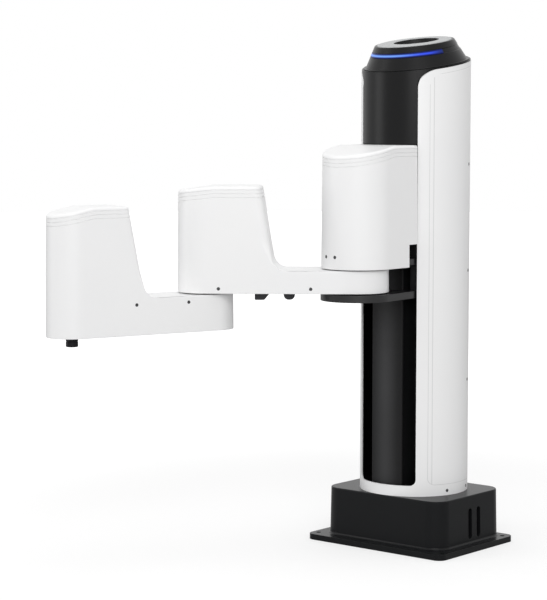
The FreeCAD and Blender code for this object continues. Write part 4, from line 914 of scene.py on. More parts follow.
    def loop(self, half: Array, height: Array) -> Array:
        """Whole outline in space from its left half and the heights of its points."""
        left = np.concatenate([half, np.broadcast_to(height, (len(half),))[:, None]], axis=1)
        return np.concatenate([left, (left * np.array([1.0, -1.0, 1.0]))[-2:0:-1]])

    def draw_in(self, height: float) -> float:
        """How far the drafted wall has come in at a height."""
        return (height - self.floor) * math.tan(math.radians(self.draft))

    def level_row(self, height: float, inset: float) -> Array:
        """Row of the wall at one height."""
        high = self.deck is None or height > self.deck + 1e-6
        back = self.back_place(height) if high else None
        half = self.half_loop(back, self.corner_at(height), self.draw_in(height) + inset)
        return self.loop(half, height)

    def crown_row(self, depth: float, inset: float) -> Array:
        """Row of the wall that runs parallel to the crown, a depth below it."""
        height = self.crown - depth
        half = self.half_loop(self.back_place(height), self.corner_at(height), self.draw_in(height) + inset)
        return self.loop(half, self.crown_height(half[:, 0]) - depth)

    def joint(self) -> float:
        """Depth of the joint between the housing and its cover."""
        return self.groove_first + 2.0 * self.groove_pitch + self.groove_width / 2.0

    def shell_rows(self) -> list[Array]:
        """Rows of the lower housing, from its foot to the joint."""
        rows = [self.level_row(self.floor + self.foot_edge * (1.0 - math.cos(a)), self.foot_edge * (1.0 - math.sin(a)))
                for a in np.linspace(0.0, math.pi / 2.0, 4)]
        low = self.floor + self.wall_start
        if self.deck is not None:
            rows += self.deck_rows()
            lean = math.radians(self.lean)
            arc_top = self.deck + self.blend * math.cos(lean) / math.tan((math.pi / 2.0 + lean) / 2.0)
            share = np.linspace(0.0, 1.0, 14)[1:]
            rows += [self.level_row(self.deck + (arc_top - self.deck) * part**2, 0.0) for part in share]
            low = self.deck + self.tower_rise
            rows += [self.level_row(height, 0.0) for height in np.linspace(arc_top, low, 8)[1:]]
        elif self.notch_top > 0.0:
            below = self.notch_top - 0.001
            rows += [self.level_row(height, 0.0) for height in (low, (low + below) / 2.0, below)]
            low = self.notch_top
            rows.append(self.level_row(low, 0.0))
        top = self.joint()
        for part in np.linspace(0.0, 1.0, 6)[1:]:
            height = low + (self.crown - top - low) * part
            half = self.half_loop(self.back_place(height), self.corner_at(height), self.draw_in(height))
            target = self.crown_height(half[:, 0]) - top
            rows.append(self.loop(half, low + (target - low) * part))
        return rows

    def deck_rows(self) -> list[Array]:
        """Rows from the slab's wall over its upper edge and across the deck to the tower's foot.

        The edge is rounded only beside the open deck; beside the tower the wall goes straight on.
        """
        rows = [self.level_row(self.deck - self.deck_edge, 0.0)]
        tower_foot = self.back_place(self.deck) + self.edge_margin
        plain = self.half_loop(None, 0.0, self.draw_in(self.deck))
        open_deck = np.clip((tower_foot - plain[:, 0]) / self.edge_fade, 0.0, 1.0)
        for angle in np.linspace(0.0, math.pi / 2.0, 5)[1:]:
            inset = self.draw_in(self.deck) + open_deck * self.deck_edge * (1.0 - math.cos(angle))
            height = self.deck - self.deck_edge * (1.0 - math.sin(angle)) + 0.0 * open_deck
            rows.append(self.loop(self.half_loop(None, 0.0, inset), height))
        half = self.half_loop(self.back_place(self.deck), self.foot_corner, self.draw_in(self.deck))
        rows.append(self.loop(half, np.full(self.half_count(), self.deck)))
        return rows

    def cover_rows(self) -> list[Array]:
        """Rows of the cover, from the joint over three grooves and the rounded edge to the crown."""
        wide, deep = self.groove_width / 2.0, self.groove_depth
        mouth = wide - self.groove_lip
        half_section = [(wide, 0.0), (mouth, self.groove_bevel), (wide * self.groove_taper, deep)]
        section = half_section + [(-offset, inset) for offset, inset in half_section[::-1]]
        rows = []
        for step in (2, 1, 0):
            middle = self.groove_first + self.groove_pitch * step
            rows += [self.crown_row(middle + offset, inset) for offset, inset in section]
        for angle in np.linspace(0.0, math.pi / 2.0, 9):
            rows.append(self.crown_row(self.crown_edge * (1.0 - math.sin(angle)),
                                       self.crown_edge * (1.0 - math.cos(angle))))
        return rows

    def place_rows(self, rows: list[Array]) -> Array:
        """Stacks rows and moves them to the housing's place in the robot."""
        return turned(np.stack(rows), *self.place)

    def close(self, surface: Surface, rows: list[Array], which: int, flat_back: bool) -> None:
        """Closes one end of a stack of rows across the housing."""
        surface.grid(turned(across(rows[which], self.edge_steps - 1 if flat_back else 0), *self.place))

    def build(self) -> None:
        """Makes the housing and its cover in place of the CAD nodes."""
        shell = Surface()
        rows = self.shell_rows()
        shell.grid(self.place_rows(rows), closed=True)
        self.close(shell, rows, 0, self.deck is None)
        self.close(shell, rows, -1, True)
        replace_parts(shell.build(self.name, Finish.WHITE_SHELL, self.body), self.nodes[0])
        cover = Surface()
        rows = self.cover_rows()
        cover.grid(self.place_rows(rows), closed=True)
        self.close(cover, rows, 0, True)
        self.close(cover, rows, -1, True)
        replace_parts(cover.build(self.cover_name, Finish.WHITE_SHELL, self.body), self.nodes[1])


def housings() -> list[Housing]:
    """The shoulder housing, the upper arm and the forearm with their sizes."""
    shoulder = Housing(name="shoulder_housing_skin", cover_name="shoulder_cover_skin", body="carriage",
                       nodes=("shoulder_housing", "shoulder_cover"), root=50.0, nose=50.0, length=63.6, floor=386.6,
                       crown=549.0, slope_start=49.6, slope=12.0, back=0.0, corner=0.5, notch_back=17.5,
                       notch_top=417.0, place=(0.0, 55.4, 0.0))
    upper = Housing(name="upper_arm_skin", cover_name="elbow_cover_skin", body="upper_arm",
                    nodes=("upper_arm_shell", "elbow_cover"), root=42.0, nose=39.6, length=LINK_LENGTH, floor=354.9,
                    deck=385.2, crown=496.0, slope_start=190.0, slope=7.0, back=109.1, corner=12.0, lean=8.5,
                    blend=19.0, place=(UPPER_ANGLE, SHOULDER_X, 0.0))
    fore = Housing(name="forearm_skin", cover_name="wrist_cover_skin", body="forearm",
                   nodes=("forearm_shell", "wrist_cover"), root=35.0, nose=33.6, length=LINK_LENGTH, floor=305.2,
                   deck=353.2, crown=472.7, slope_start=183.0, slope=11.5, back=108.0, corner=9.0, lean=10.4,
                   blend=18.0, place=(FORE_ANGLE, float(ELBOW[0]), float(ELBOW[1])))
    return [shoulder, upper, fore]


# ---- Column and head


def level(height: float) -> Callable[[Array], Array]:
    """Boundary of a wall that stands at one height all round."""
    return lambda place: np.full(place.shape[1], height)


@dataclass
class Column:
    """Round shell with its front opening, rear skin and head cover; the cap sits on its tilted rim."""

    radius: float = COLUMN_RADIUS
    wall: float = 3.5
    foot: float = 73.5
    sill: float = 88.0
    sill_corner: float = 8.0
    half_opening: float = 46.2
    rim: float = RIM
    tilt: float = TILT
    crown_drop: float = 4.2
    crown_radius: float = 24.5
    skin_depth: float = 1.5
    skin_gap: float = 0.7
    skin_front: float = 40.0
    skin_border: float = 6.5
    skin_corner: float = 9.0
    cover_floor: float = 550.0
    cap_seat: float = 2.2
    cover_inset: float = 0.6
    cover_wall: float = 2.8
    cover_seam: float = 0.8
    collar_lap: float = 4.0
    collar_gap: float = 0.4
    skin_proud: float = 0.02
    crowd: float = 1.8

    def front(self) -> float:
        """Where the opening's edges stand along X."""
        return COLUMN_X + math.sqrt(self.radius**2 - self.half_opening**2)

    def crown_line(self, x: Array, drop: float, front: float, radius: float) -> Array:
        """Height of the tilted crown, rounded down to the upright front line.

        Args:
            x: places along X.
            drop: how far the line lies below the rim.
            front: where the upright line stands.
            radius: rounding between both lines.

        Returns:
            Heights; inside the rounding they lie on its arc.
        """
        slope = math.radians(self.tilt)
        plane = self.rim - drop - math.tan(slope) * (x - COLUMN_X)
        centre_x = front - radius
        centre_z = (self.rim - drop - math.tan(slope) * (centre_x - COLUMN_X)) - radius / math.cos(slope)
        inside = x > centre_x + radius * math.sin(slope)
        reach = np.clip(x - centre_x, -radius, radius)
        return np.where(inside, centre_z + np.sqrt(np.maximum(radius**2 - reach**2, 0.0)), plane)

    def wall_grid(self, outer: float, inner: float, angles: tuple[Array, Array], low: Callable[[Array], Array],
                  high: Callable[[Array], Array], rows: int = 2) -> Array:
        """Closed section carried round the column between a lower and an upper boundary.

        Args:
            outer: outer radius.
            inner: inner radius.
            angles: angles of the outer and of the inner wall, in radians.
            low: lower height for points in space.
            high: upper height for points in space.
            rows: points up each wall.

        Returns:
            Grid with one row for each angle and the section's points as its closed second axis.
        """
        share = np.linspace(0.0, 1.0, rows)
        walls = []
        for radius, angle, order in ((outer, angles[0], share), (inner, angles[1], share[::-1])):
            x, y = COLUMN_X + radius * np.cos(angle), radius * np.sin(angle)
            bottom, top = low(np.stack([x, y])), high(np.stack([x, y]))
            height = bottom[:, None] + (top - bottom)[:, None] * order[None, :]
            walls.append(np.stack([np.broadcast_to(x[:, None], height.shape),
                                   np.broadcast_to(y[:, None], height.shape), height], axis=-1))
        return np.concatenate(walls, axis=1)

    def add_wall(self, surface: Surface, grid: Array, ends: bool) -> None:
        """Adds a carried section, with flat ends where it doesn't close on itself."""
        if ends:
            surface.grid(grid, closed=True)
            half = grid.shape[1] // 2
            for section in (grid[0], grid[-1]):
                surface.grid(np.stack([section[:half], section[half:][::-1]]))
            return
        surface.grid(np.concatenate([grid, grid[:1]]), closed=True)

    def sweep(self, first: float, last: float, count: int, crowd: float = 1.0) -> Array:
        """Angles from one to another, closer together near both ends where crowd is over one."""
        t = np.linspace(-1.0, 1.0, count)
        t = np.sign(t) * (1.0 - (1.0 - np.abs(t)) ** crowd)
        return first + (last - first) * (t + 1.0) / 2.0

    def ahead(self, radius: float, half: float, count: int, crowd: float = 1.0) -> Array:
        """Angles across the opening of a half width, on a circle, from its right edge to its left edge."""
        edge = math.asin(half / radius)
        return self.sweep(-edge, edge, count, crowd)

    def behind(self, radius: float, half: float, count: int, crowd: float = 1.0) -> Array:
        """Angles round the back of a circle, from the opening's left edge to its right edge."""
        edge = math.asin(half / radius)
        return self.sweep(edge, 2.0 * np.pi - edge, count, crowd)

    def build_shell(self) -> None:
        """Foot ring with the opening's sill, and the open wall above it up to the sloping crown."""
        outer, inner = self.radius, self.radius - self.wall
        surface = Surface()
        split = self.sill + self.sill_corner
        flat = self.half_opening - self.sill_corner

        def sill_height(place: Array) -> Array:
            """Height of the sill, rounded up to both edges of the opening."""
            across = np.clip(np.abs(place[1]) - flat, 0.0, self.sill_corner)
            rounded = split - np.sqrt(np.maximum(self.sill_corner**2 - across**2, 0.0))
            opened = (np.abs(place[1]) < self.half_opening) & (place[0] > COLUMN_X)
            return np.where(opened, rounded, split)

        around = tuple(np.concatenate([self.ahead(radius, self.half_opening, 61, self.crowd),
                                       self.behind(radius, self.half_opening, 121)[1:-1]])
                       for radius in (outer, inner))
        self.add_wall(surface, self.wall_grid(outer, inner, around, level(self.foot),
                                              sill_height), False)
        wall = tuple(self.behind(radius, self.half_opening, 181, self.crowd) for radius in (outer, inner))
        self.add_wall(surface, self.wall_grid(
            outer, inner, wall, level(split),
            lambda p: self.crown_line(p[0], self.crown_drop, self.front(), self.crown_radius), 4), True)
        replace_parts(surface.build("column_shell_skin", Finish.WHITE_TUBE, "base", 0.6), "column_shell")

    def skin_edges(self, height: Array) -> Array:
        """Angle at which the rear skin begins at a height, with its lower corner rounded."""
        radius, low = self.skin_corner, self.sill + self.skin_gap
        drop = np.clip(low + radius - height, 0.0, radius)
        front = self.skin_front - (radius - np.sqrt(radius**2 - drop**2))
        return np.arccos(np.clip((front - COLUMN_X) / self.radius, -1.0, 1.0))

    def build_skin(self) -> None:
        """Rear panel: a patch of the cylinder with rounded corners, a thin rim and a crease near its front edges."""
        low = self.sill + self.skin_gap
        top_angle = float(np.arccos((self.skin_front - COLUMN_X) / self.radius))
        turn = self.sweep(top_angle, 2.0 * np.pi - top_angle, 161, 2.2)
        rows_low = low + self.skin_corner * (1.0 - np.cos(np.linspace(0.0, np.pi / 2.0, 10)))
        share = np.linspace(0.0, 1.0, 24)[1:]
        top = self.crown_line(COLUMN_X + self.radius * np.cos(turn), self.crown_drop + self.skin_border,
                              self.skin_front, self.crown_radius - self.skin_border)
        heights = np.concatenate([np.broadcast_to(rows_low[:, None], (len(rows_low), len(turn))),
                                  rows_low[-1] + (top - rows_low[-1])[None, :] * share[:, None]])
        edges = self.skin_edges(heights)
        part = (turn - top_angle) / (2.0 * np.pi - 2.0 * top_angle)
        angle = edges + (2.0 * np.pi - 2.0 * edges) * part[None, :]
        layers = [np.stack([COLUMN_X + radius * np.cos(angle), radius * np.sin(angle), heights], axis=-1)
                  for radius in (self.radius + self.skin_proud, self.radius - self.skin_depth)]
        surface = Surface().grid(layers[0]).grid(layers[1])
        rims = [np.concatenate([layer[0], layer[1:, -1], layer[-1, -2::-1], layer[-2:0:-1, 0]]) for layer in layers]
        surface.grid(np.stack(rims), closed=True)
        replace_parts(surface.build("rear_skin_panel", Finish.WHITE_SKIN, "base", 0.35, 40.0), "rear_skin")

    def build_head_cover(self) -> None:
        """Black cover over the opening's upper part and the collar between the shell's crown and the cap."""
        outer = self.radius - self.cover_inset
        inner = outer - self.cover_wall
        half = self.half_opening - self.cover_seam
        slope = math.tan(math.radians(self.tilt))

        def rim(place: Array) -> Array:
            """Height of the tilted plane that the cap sits on."""
            return self.rim - self.cap_seat - slope * (place[0] - COLUMN_X)

        def collar(place: Array) -> Array:
            """Lower edge of the collar: the shell's crown, or a band under the rim where the cover is in front."""
            line = self.crown_line(place[0], self.crown_drop - self.cover_seam, self.front() + self.cover_seam,
                                   self.crown_radius)
            opened = (np.abs(place[1]) < half) & (place[0] > COLUMN_X)
            return np.where(opened, rim(place) - self.collar_lap, np.minimum(line, rim(place) - self.collar_gap))

        def top(place: Array) -> Array:
            """Upper edge of both walls, just under the rim."""
            return rim(place) - self.skin_proud

        surface = Surface()
        angles = tuple(self.ahead(radius, half, 49) for radius in (outer, inner))
        self.add_wall(surface, self.wall_grid(outer, inner, angles, level(self.cover_floor),
                                              top, 6), True)
        turn = tuple(self.behind(radius, half, 181, self.crowd) for radius in (outer, inner))
        self.add_wall(surface, self.wall_grid(outer, inner, turn, collar, top), True)
        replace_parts(surface.build("head_cover_skin", Finish.HEAD_BLACK, "base", 0.5), "head_cover")

    def on_rim(self, points: Array) -> Array:
        """Moves points made about the upright axis onto the tilted rim."""
        c, s = cosine_sine(self.tilt)
        return points @ np.array([[c, 0.0, -s], [0.0, 1.0, 0.0], [s, 0.0, c]]) + np.array([COLUMN_X, 0.0, self.rim])


@dataclass
class Cap:
    """Tilted cone on the head, its pale lid with a dish and the light band round its front."""

    column: Column
    base: float = 72.4
    lip: float = -0.7
    step: float = 3.3
    top_radius: float = 54.2
    height: float = 27.5
    edge: float = 1.8
    lid_radius: float = 51.1
    lid_rise: float = 0.8
    lid_seat: float = 9.5
    dish_radius: float = 30.6
    dish_depth: float = 6.5
    dish_back: float = 4.6
    light_low: float = 13.9
    light_wide: float = 5.8
    light_start: float = 16.5
    light_edge: float = 0.5
    seat_width: float = 6.0
    seat_depth: float = 1.0
    lid_gap: float = 0.3
    lid_lift: float = 0.05
    groove_margin: float = 0.5
    groove_bevel: float = 0.3
    groove_depth: float = 0.7

    def cone(self, height: Array | float) -> Array | float:
        """Radius of the cone at a height over the rim."""
        fall = (self.base - self.step - self.top_radius) / (self.height - self.lip)
        return self.base - self.step - fall * (height - self.lip)

    def build(self) -> None:
        """Makes the cap, lid and light."""
        low, high = self.light_low, self.light_low + self.light_wide
        seat = -self.column.cap_seat
        first, last = low - self.groove_margin, high + self.groove_margin
        hole, bottom = self.lid_radius + self.lid_gap, self.height - self.lid_seat
        corners = [(0.0, seat + self.seat_depth, 0.0), (self.base - self.seat_width, seat + self.seat_depth, 0.0),
                   (self.base - self.seat_width, seat, 0.3), (self.base, seat, 0.3), (self.base, self.lip, 0.6),
                   (self.cone(self.lip), self.lip, 0.4), (self.cone(first), first, 0.0),
                   (self.cone(first) - self.groove_depth, first + self.groove_bevel, 0.0),
                   (self.cone(last) - self.groove_depth, last - self.groove_bevel, 0.0),
                   (self.cone(last), last, 0.0), (self.top_radius, self.height, self.edge), (hole, self.height, 0.3),
                   (hole, bottom, 0.0), (0.0, bottom, 0.0)]
        profile = rounded_profile(corners, 7)
        cap = Surface().grid(self.column.on_rim(revolve(profile, 192)), closed=True)
        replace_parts(cap.build("head_cap_skin", Finish.HEAD_BLACK, "base", sharp=30.0), "head_cap")
        top = self.height + self.lid_rise
        seat = bottom + self.lid_lift
        corners = [(0.0, seat, 0.0), (self.lid_radius, seat, 0.0), (self.lid_radius, top, 1.2),
                   (self.dish_radius + 0.4, top, 0.5), (self.dish_radius, top - self.dish_depth, 0.5),
                   (0.0, top - self.dish_depth, 0.0)]
        disc = revolve(rounded_profile(corners, 8), 160)
        inward = (self.lid_radius - np.hypot(disc[..., 0], disc[..., 1])) / (self.lid_radius - self.dish_radius - 1.0)
        disc[..., 0] -= self.dish_back * np.clip(inward, 0.0, 1.0) * (disc[..., 2] > seat + 0.5)
        lid = Surface().grid(self.column.on_rim(disc), closed=True)
        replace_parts(lid.build("cap_lid_disc", Finish.LID_GREY, "base", sharp=40.0), "cap_lid")
        self.build_light()

    def build_light(self) -> None:
        """Light guide: a thin rounded strip on the cone from one side round the front to the other."""
        low, high = self.light_low, self.light_low + self.light_wide
        reach = math.acos(self.light_start / float(self.cone(low)))
        angle = np.linspace(-reach, reach, 121)
        heights = np.array([low, low, low + self.light_edge, high - self.light_edge, high, high])
        proud = np.array([-2.0, -0.25, 0.1, 0.1, -0.25, -2.0])
        radius = self.cone(heights) + proud
        x, y = radius[None, :] * np.cos(angle)[:, None], radius[None, :] * np.sin(angle)[:, None]
        grid = np.stack([x, y, np.broadcast_to(heights, x.shape)], axis=-1)
        surface = Surface().grid(self.column.on_rim(grid), closed=True)
        for section in (grid[0], grid[-1]):
            section = self.column.on_rim(section)
            surface.grid(np.stack([section[:3], section[3:][::-1]]))
        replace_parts(surface.build("light_guide_band", Finish.LIGHT, "base"), "light_band")


# ---- Fasteners, fittings and the output shaft


@dataclass
class SocketScrew:
    """Screw head with a rounded rim and a six-sided socket, seen from its end."""

    radius: float = 2.3
    rise: float = 1.1
    socket: float = 1.25
    depth: float = 0.2
    count: int = 36

    def grid(self) -> Array:
        """Head about the Z axis with its face at z = 0: rim, face, six-sided hole and its floor.

        The hole's radius at an angle is the flat's distance divided by the cosine of the angle from the flat's middle.
        """
        angle = np.linspace(0.0, 2.0 * np.pi, self.count, endpoint=False)
        flat = self.socket / np.cos((angle % (np.pi / 3.0)) - np.pi / 6.0)
        circle = np.ones_like(angle)
        rows = [(circle * 0.0, -self.rise), (circle * self.radius, -self.rise), (circle * self.radius, -0.35),
                (circle * (self.radius - 0.1), -0.1), (circle * (self.radius - 0.4), 0.0), (flat + 0.1, 0.0),
                (flat, -0.12), (flat, -self.depth), (circle * 0.0, -self.depth)]
        return np.stack([np.stack([r * np.cos(angle), r * np.sin(angle), np.full_like(angle, z)], axis=-1)
                         for r, z in rows])


def aimed(grid: Array, place: Array, direction: Array) -> Array:
    """Turns a grid made about +Z so that +Z points along a level direction, and moves it to a place."""
    out = direction / np.linalg.norm(direction)
    side = np.array([-out[1], out[0], 0.0])
    up = np.array([0.0, 0.0, 1.0])
    return grid[..., :1] * side + grid[..., 1:2] * up + grid[..., 2:] * out + place


@dataclass(frozen=True)
class ScrewPlan:
    """Places of the screw heads: angles in degrees about an upright axis, and (along the link, height) spots."""

    skin_angles: tuple[float, ...] = (112.5, -112.5)
    skin_heights: tuple[float, ...] = (227.5, 377.5, 522.5)
    foot_angles: tuple[float, ...] = (74.0, 111.0, 150.0, -74.0, -111.0, -150.0)
    foot_height: float = 79.9
    nose_angles: tuple[float, ...] = (-21.7, -1.4, -60.0)
    nose_height: float = 403.1
    upper_spots: tuple[tuple[float, float], ...] = ((182.5, 361.5), (61.0, 361.5))
    fore_spots: tuple[tuple[float, float], ...] = ((123.3, 345.2), (47.1, 345.2))
    skin_proud: float = 0.3
    nose_proud: float = 0.1
    proud: float = 0.25


def radial(x: float, radius: float, angle: float, height: float) -> tuple[Array, Array]:
    """Place and direction of a screw on an upright cylinder whose axis stands at x."""
    out = np.array([*cosine_sine(angle), 0.0])
    return np.array([x, 0.0, height]) + out * radius, out


def beside(arm: Housing, spots: Sequence[tuple[float, float]], proud: float) -> list[tuple[Array, Array]]:
    """Places and directions of the screws on both side walls of a link."""
    found = []
    for along, height in spots:
        wall = (arm.root - along * math.sin(arm.tilt())) / math.cos(arm.tilt()) - arm.draw_in(height)
        for side in (1.0, -1.0):
            place = turned(np.array([along, side * (wall + proud), height]), *arm.place)
            found.append((place, turned(np.array([0.0, side, 0.0]), arm.place[0], 0.0, 0.0)))
    return found


def build_screws() -> None:
    """All visible screw heads, one piece for each body, in place of the CAD heads."""
    plan = ScrewPlan()
    shoulder, upper, fore = housings()
    nose_x = shoulder.place[1] + shoulder.length
    shell = [radial(COLUMN_X, COLUMN_RADIUS + plan.skin_proud, angle, height)
             for angle in plan.skin_angles for height in plan.skin_heights]
    shell += [radial(COLUMN_X, COLUMN_RADIUS + plan.proud, angle, plan.foot_height) for angle in plan.foot_angles]
    nose = [radial(nose_x, shoulder.nose + plan.nose_proud, angle, plan.nose_height) for angle in plan.nose_angles]
    for name, body, node, spots in (
            ("shell_screw_heads", "base", "shell_screws", shell),
            ("shoulder_screw_heads", "carriage", "shoulder_screws", nose),
            ("upper_arm_screw_heads", "upper_arm", "upper_arm_screws", beside(upper, plan.upper_spots, plan.proud)),
            ("forearm_screw_heads", "forearm", "forearm_screws", beside(fore, plan.fore_spots, plan.proud))):
        surface = Surface()
        for place, out in spots:
            surface.grid(aimed(SocketScrew().grid(), place, out), closed=True)
        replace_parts(surface.build(name, Finish.SCREW_DARK, body, sharp=28.0), node)


class FittingKind(Enum):
    """Forms of the fittings under the upper arm."""

    BLOCK = "block with one slanted end"
    DOME = "round with a domed end"


@dataclass
class Fitting:
    """Fitting under the upper arm, made from rows that go down from the arm's underside."""

    along: float
    kind: FittingKind
    drop: float = 11.0
    top: float = 354.9
    radius: float = 7.9
    half_long: float = 9.5
    half_wide: float = 7.0
    slant: float = 6.0
    slant_from: float = 3.6
    squareness: float = 0.28
    skirt: float = 3.8
    dome_flat: float = 1.6

    def block(self) -> Array:
        """Rows of the block: a rounded rectangle, the powered cosine and sine of the angle, whose shoulder end moves
        in steadily below a height, with a small rounding at the lower rim.
        """
        angle = np.linspace(0.0, 2.0 * np.pi, 72, endpoint=False)
        unit_x = np.sign(np.cos(angle)) * np.abs(np.cos(angle)) ** self.squareness
        unit_y = np.sign(np.sin(angle)) * np.abs(np.sin(angle)) ** self.squareness
        rows = []
        for depth, inset in ((0.0, 9.0), (0.0, 0.0), (self.slant_from, 0.0), (self.drop - 0.9, 0.0),
                             (self.drop - 0.3, 0.25), (self.drop, 0.9), (self.drop, 3.0), (self.drop, 6.9)):
            moved = self.slant * max(0.0, depth - self.slant_from) / (self.drop - self.slant_from)
            low, high = inset - self.half_long + moved, self.half_long - inset
            wide = max(self.half_wide - inset, 0.0)
            rows.append(np.stack([(low + high) / 2.0 + (high - low) / 2.0 * unit_x, wide * unit_y,
                                  np.full_like(angle, self.top - depth)], axis=-1))
        return np.stack(rows)

    def dome(self) -> Array:
        """Rows of the round fitting: a collar with a shallow groove, then a quarter circle down to a small flat."""
        turn = np.linspace(0.0, np.pi / 2.0, 12)
        wide, deep = self.radius - 0.3 - self.dome_flat, self.drop - self.skirt
        curve = [(self.dome_flat + wide * math.cos(a), self.skirt + deep * math.sin(a)) for a in turn]
        profile = np.array([(0.0, 0.0), (self.radius, 0.0), (self.radius, 2.6), (self.radius - 0.5, 2.9),
                            (self.radius - 0.5, 3.3), (self.radius - 0.2, 3.5), *curve, (0.0, self.drop)])
        return revolve(profile * np.array([1.0, -1.0]) + np.array([0.0, self.top]), 72)

    def grid(self) -> Array:
        """Rows of the fitting at its place along the arm."""
        rows = self.block() if self.kind is FittingKind.BLOCK else self.dome()
        return rows + np.array([self.along, 0.0, 0.0])


def build_fittings() -> None:
    """The two fittings under the upper arm."""
    surface = Surface()
    for fitting in (Fitting(90.5, FittingKind.DOME), Fitting(127.0, FittingKind.BLOCK)):
        surface.grid(turned(fitting.grid(), UPPER_ANGLE, SHOULDER_X, 0.0), closed=True)
    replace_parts(surface.build("underside_cable_fittings", Finish.FITTING_BLACK, "upper_arm", sharp=28.0),
                "underside_fittings")


@dataclass
class OutputShaft:
    """Stepped shaft with a retaining groove, a chamfered end and a blind bore, at its heights in the rest pose."""

    top: float = 330.0
    shoulder: float = 305.2
    groove_top: float = 300.0
    groove_floor: float = 298.5
    end: float = 292.2
    bore_top: float = 303.0
    thick: float = 10.0
    thin: float = 8.0
    bore: float = 3.0
    lead: float = 0.6
    shoulder_edge: float = 0.2
    groove_depth: float = 0.4
    groove_slope: float = 0.3
    chamfer_wide: float = 0.7
    chamfer_high: float = 0.8
    bore_chamfer: float = 0.4

    def build(self) -> None:
        """Makes the shaft in place of the CAD node."""
        waist, soft = self.thin - self.groove_depth, self.shoulder_edge
        corners = [(0.0, self.top, 0.0), (self.thick - self.lead, self.top, 0.0),
                   (self.thick, self.top - self.lead, 0.0), (self.thick, self.shoulder + soft, soft),
                   (self.thin, self.shoulder, 0.0), (self.thin, self.groove_top, 0.0),
                   (waist, self.groove_top - self.groove_slope, 0.0),
                   (waist, self.groove_floor + self.groove_slope, 0.0), (self.thin, self.groove_floor, 0.0),
                   (self.thin, self.end + self.chamfer_high, soft), (self.thin - self.chamfer_wide, self.end, soft),
                   (self.bore + self.bore_chamfer, self.end, 0.0), (self.bore, self.end + self.bore_chamfer, 0.0),
                   (self.bore, self.bore_top, 0.0), (0.0, self.bore_top, 0.0)]
        grid = revolve(rounded_profile(corners, 4), 96) + np.array([WRIST[0], WRIST[1], 0.0])
        surface = Surface().grid(grid, closed=True)
        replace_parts(surface.build("output_shaft_turned", Finish.SHAFT_DARK, "output", sharp=28.0), "output_shaft")


def dress_frame() -> None:
    """Bevelled stand-ins for the plain machined nodes, and finishes for the hidden ones."""
    edged = {"base_casting": (Finish.BASE_CAST, 0.5), "front_strip": (Finish.STRIP_DARK, 0.3),
             "column_beam": (Finish.INNER_DARK, 0.4), "column_foot": (Finish.INNER_DARK, 0.4),
             "shoulder_bracket": (Finish.BRACKET_BLACK, 0.6), "carriage_saddle": (Finish.INNER_DARK, 0.5),
             "guide_rails": (Finish.STEEL, 0.3), "port_plate": (Finish.PORT_METAL, 0.3),
             "power_inlet": (Finish.SOCKET_BLACK, 0.25), "network_sockets": (Finish.SOCKET_BLACK, 0.25),
             "signal_socket": (Finish.SOCKET_BLACK, 0.25), "stop_socket": (Finish.STOP_RED, 0.25)}
    for node, (finish, bevel) in edged.items():
        edged_copy(node, finish, bevel, slots=VentSlots() if node == "base_casting" else None)
    plain = {Finish.INNER_DARK: ["belly_plate", "vent_baffles", "drive_deck", "drive_stand"],
             Finish.BOARD: ["control_board"],
             Finish.MACHINED: ["power_unit", "shoulder_gear_unit", "elbow_gear_unit", "wrist_gear_unit",
                               "shoulder_hub", "elbow_hub"],
             Finish.STEEL: ["guide_blocks", "ball_screw", "ball_nut", "shaft_coupling", "lower_screw_bearing",
                            "upper_screw_bearing", "pivot_bearing"],
             Finish.MOTOR_BLACK: ["lift_motor", "shoulder_motor", "elbow_motor", "wrist_motor"]}
    for finish, nodes in plain.items():
        for node in nodes:
            mesh = frame["nodes"][node].data
            mesh.materials.clear()
            mesh.materials.append(finish.material())
            LOG.info("%s: finish %s", node, finish.name)


# ---- Studio


@dataclass(frozen=True)
class SoftBox:
    """Soft area lamp that looks at a point; its lengths are in metres and its power in watts."""

    name: str
    place: tuple[float, float, float]
    aim: tuple[float, float, float]
    power: float
    size: tuple[float, float]

    def build(self) -> None:
        """Makes the lamp."""
        data = bpy.data.lights.new(self.name, "AREA")
        data.shape = "RECTANGLE"
        data.energy, data.size, data.size_y = self.power, *self.size
        lamp = bpy.data.objects.new(self.name, data)
        lamp.location = self.place
        lamp.rotation_euler = (Vector(self.aim) - Vector(self.place)).to_track_quat("-Z", "Y").to_euler()
        bpy.context.scene.collection.objects.link(lamp)


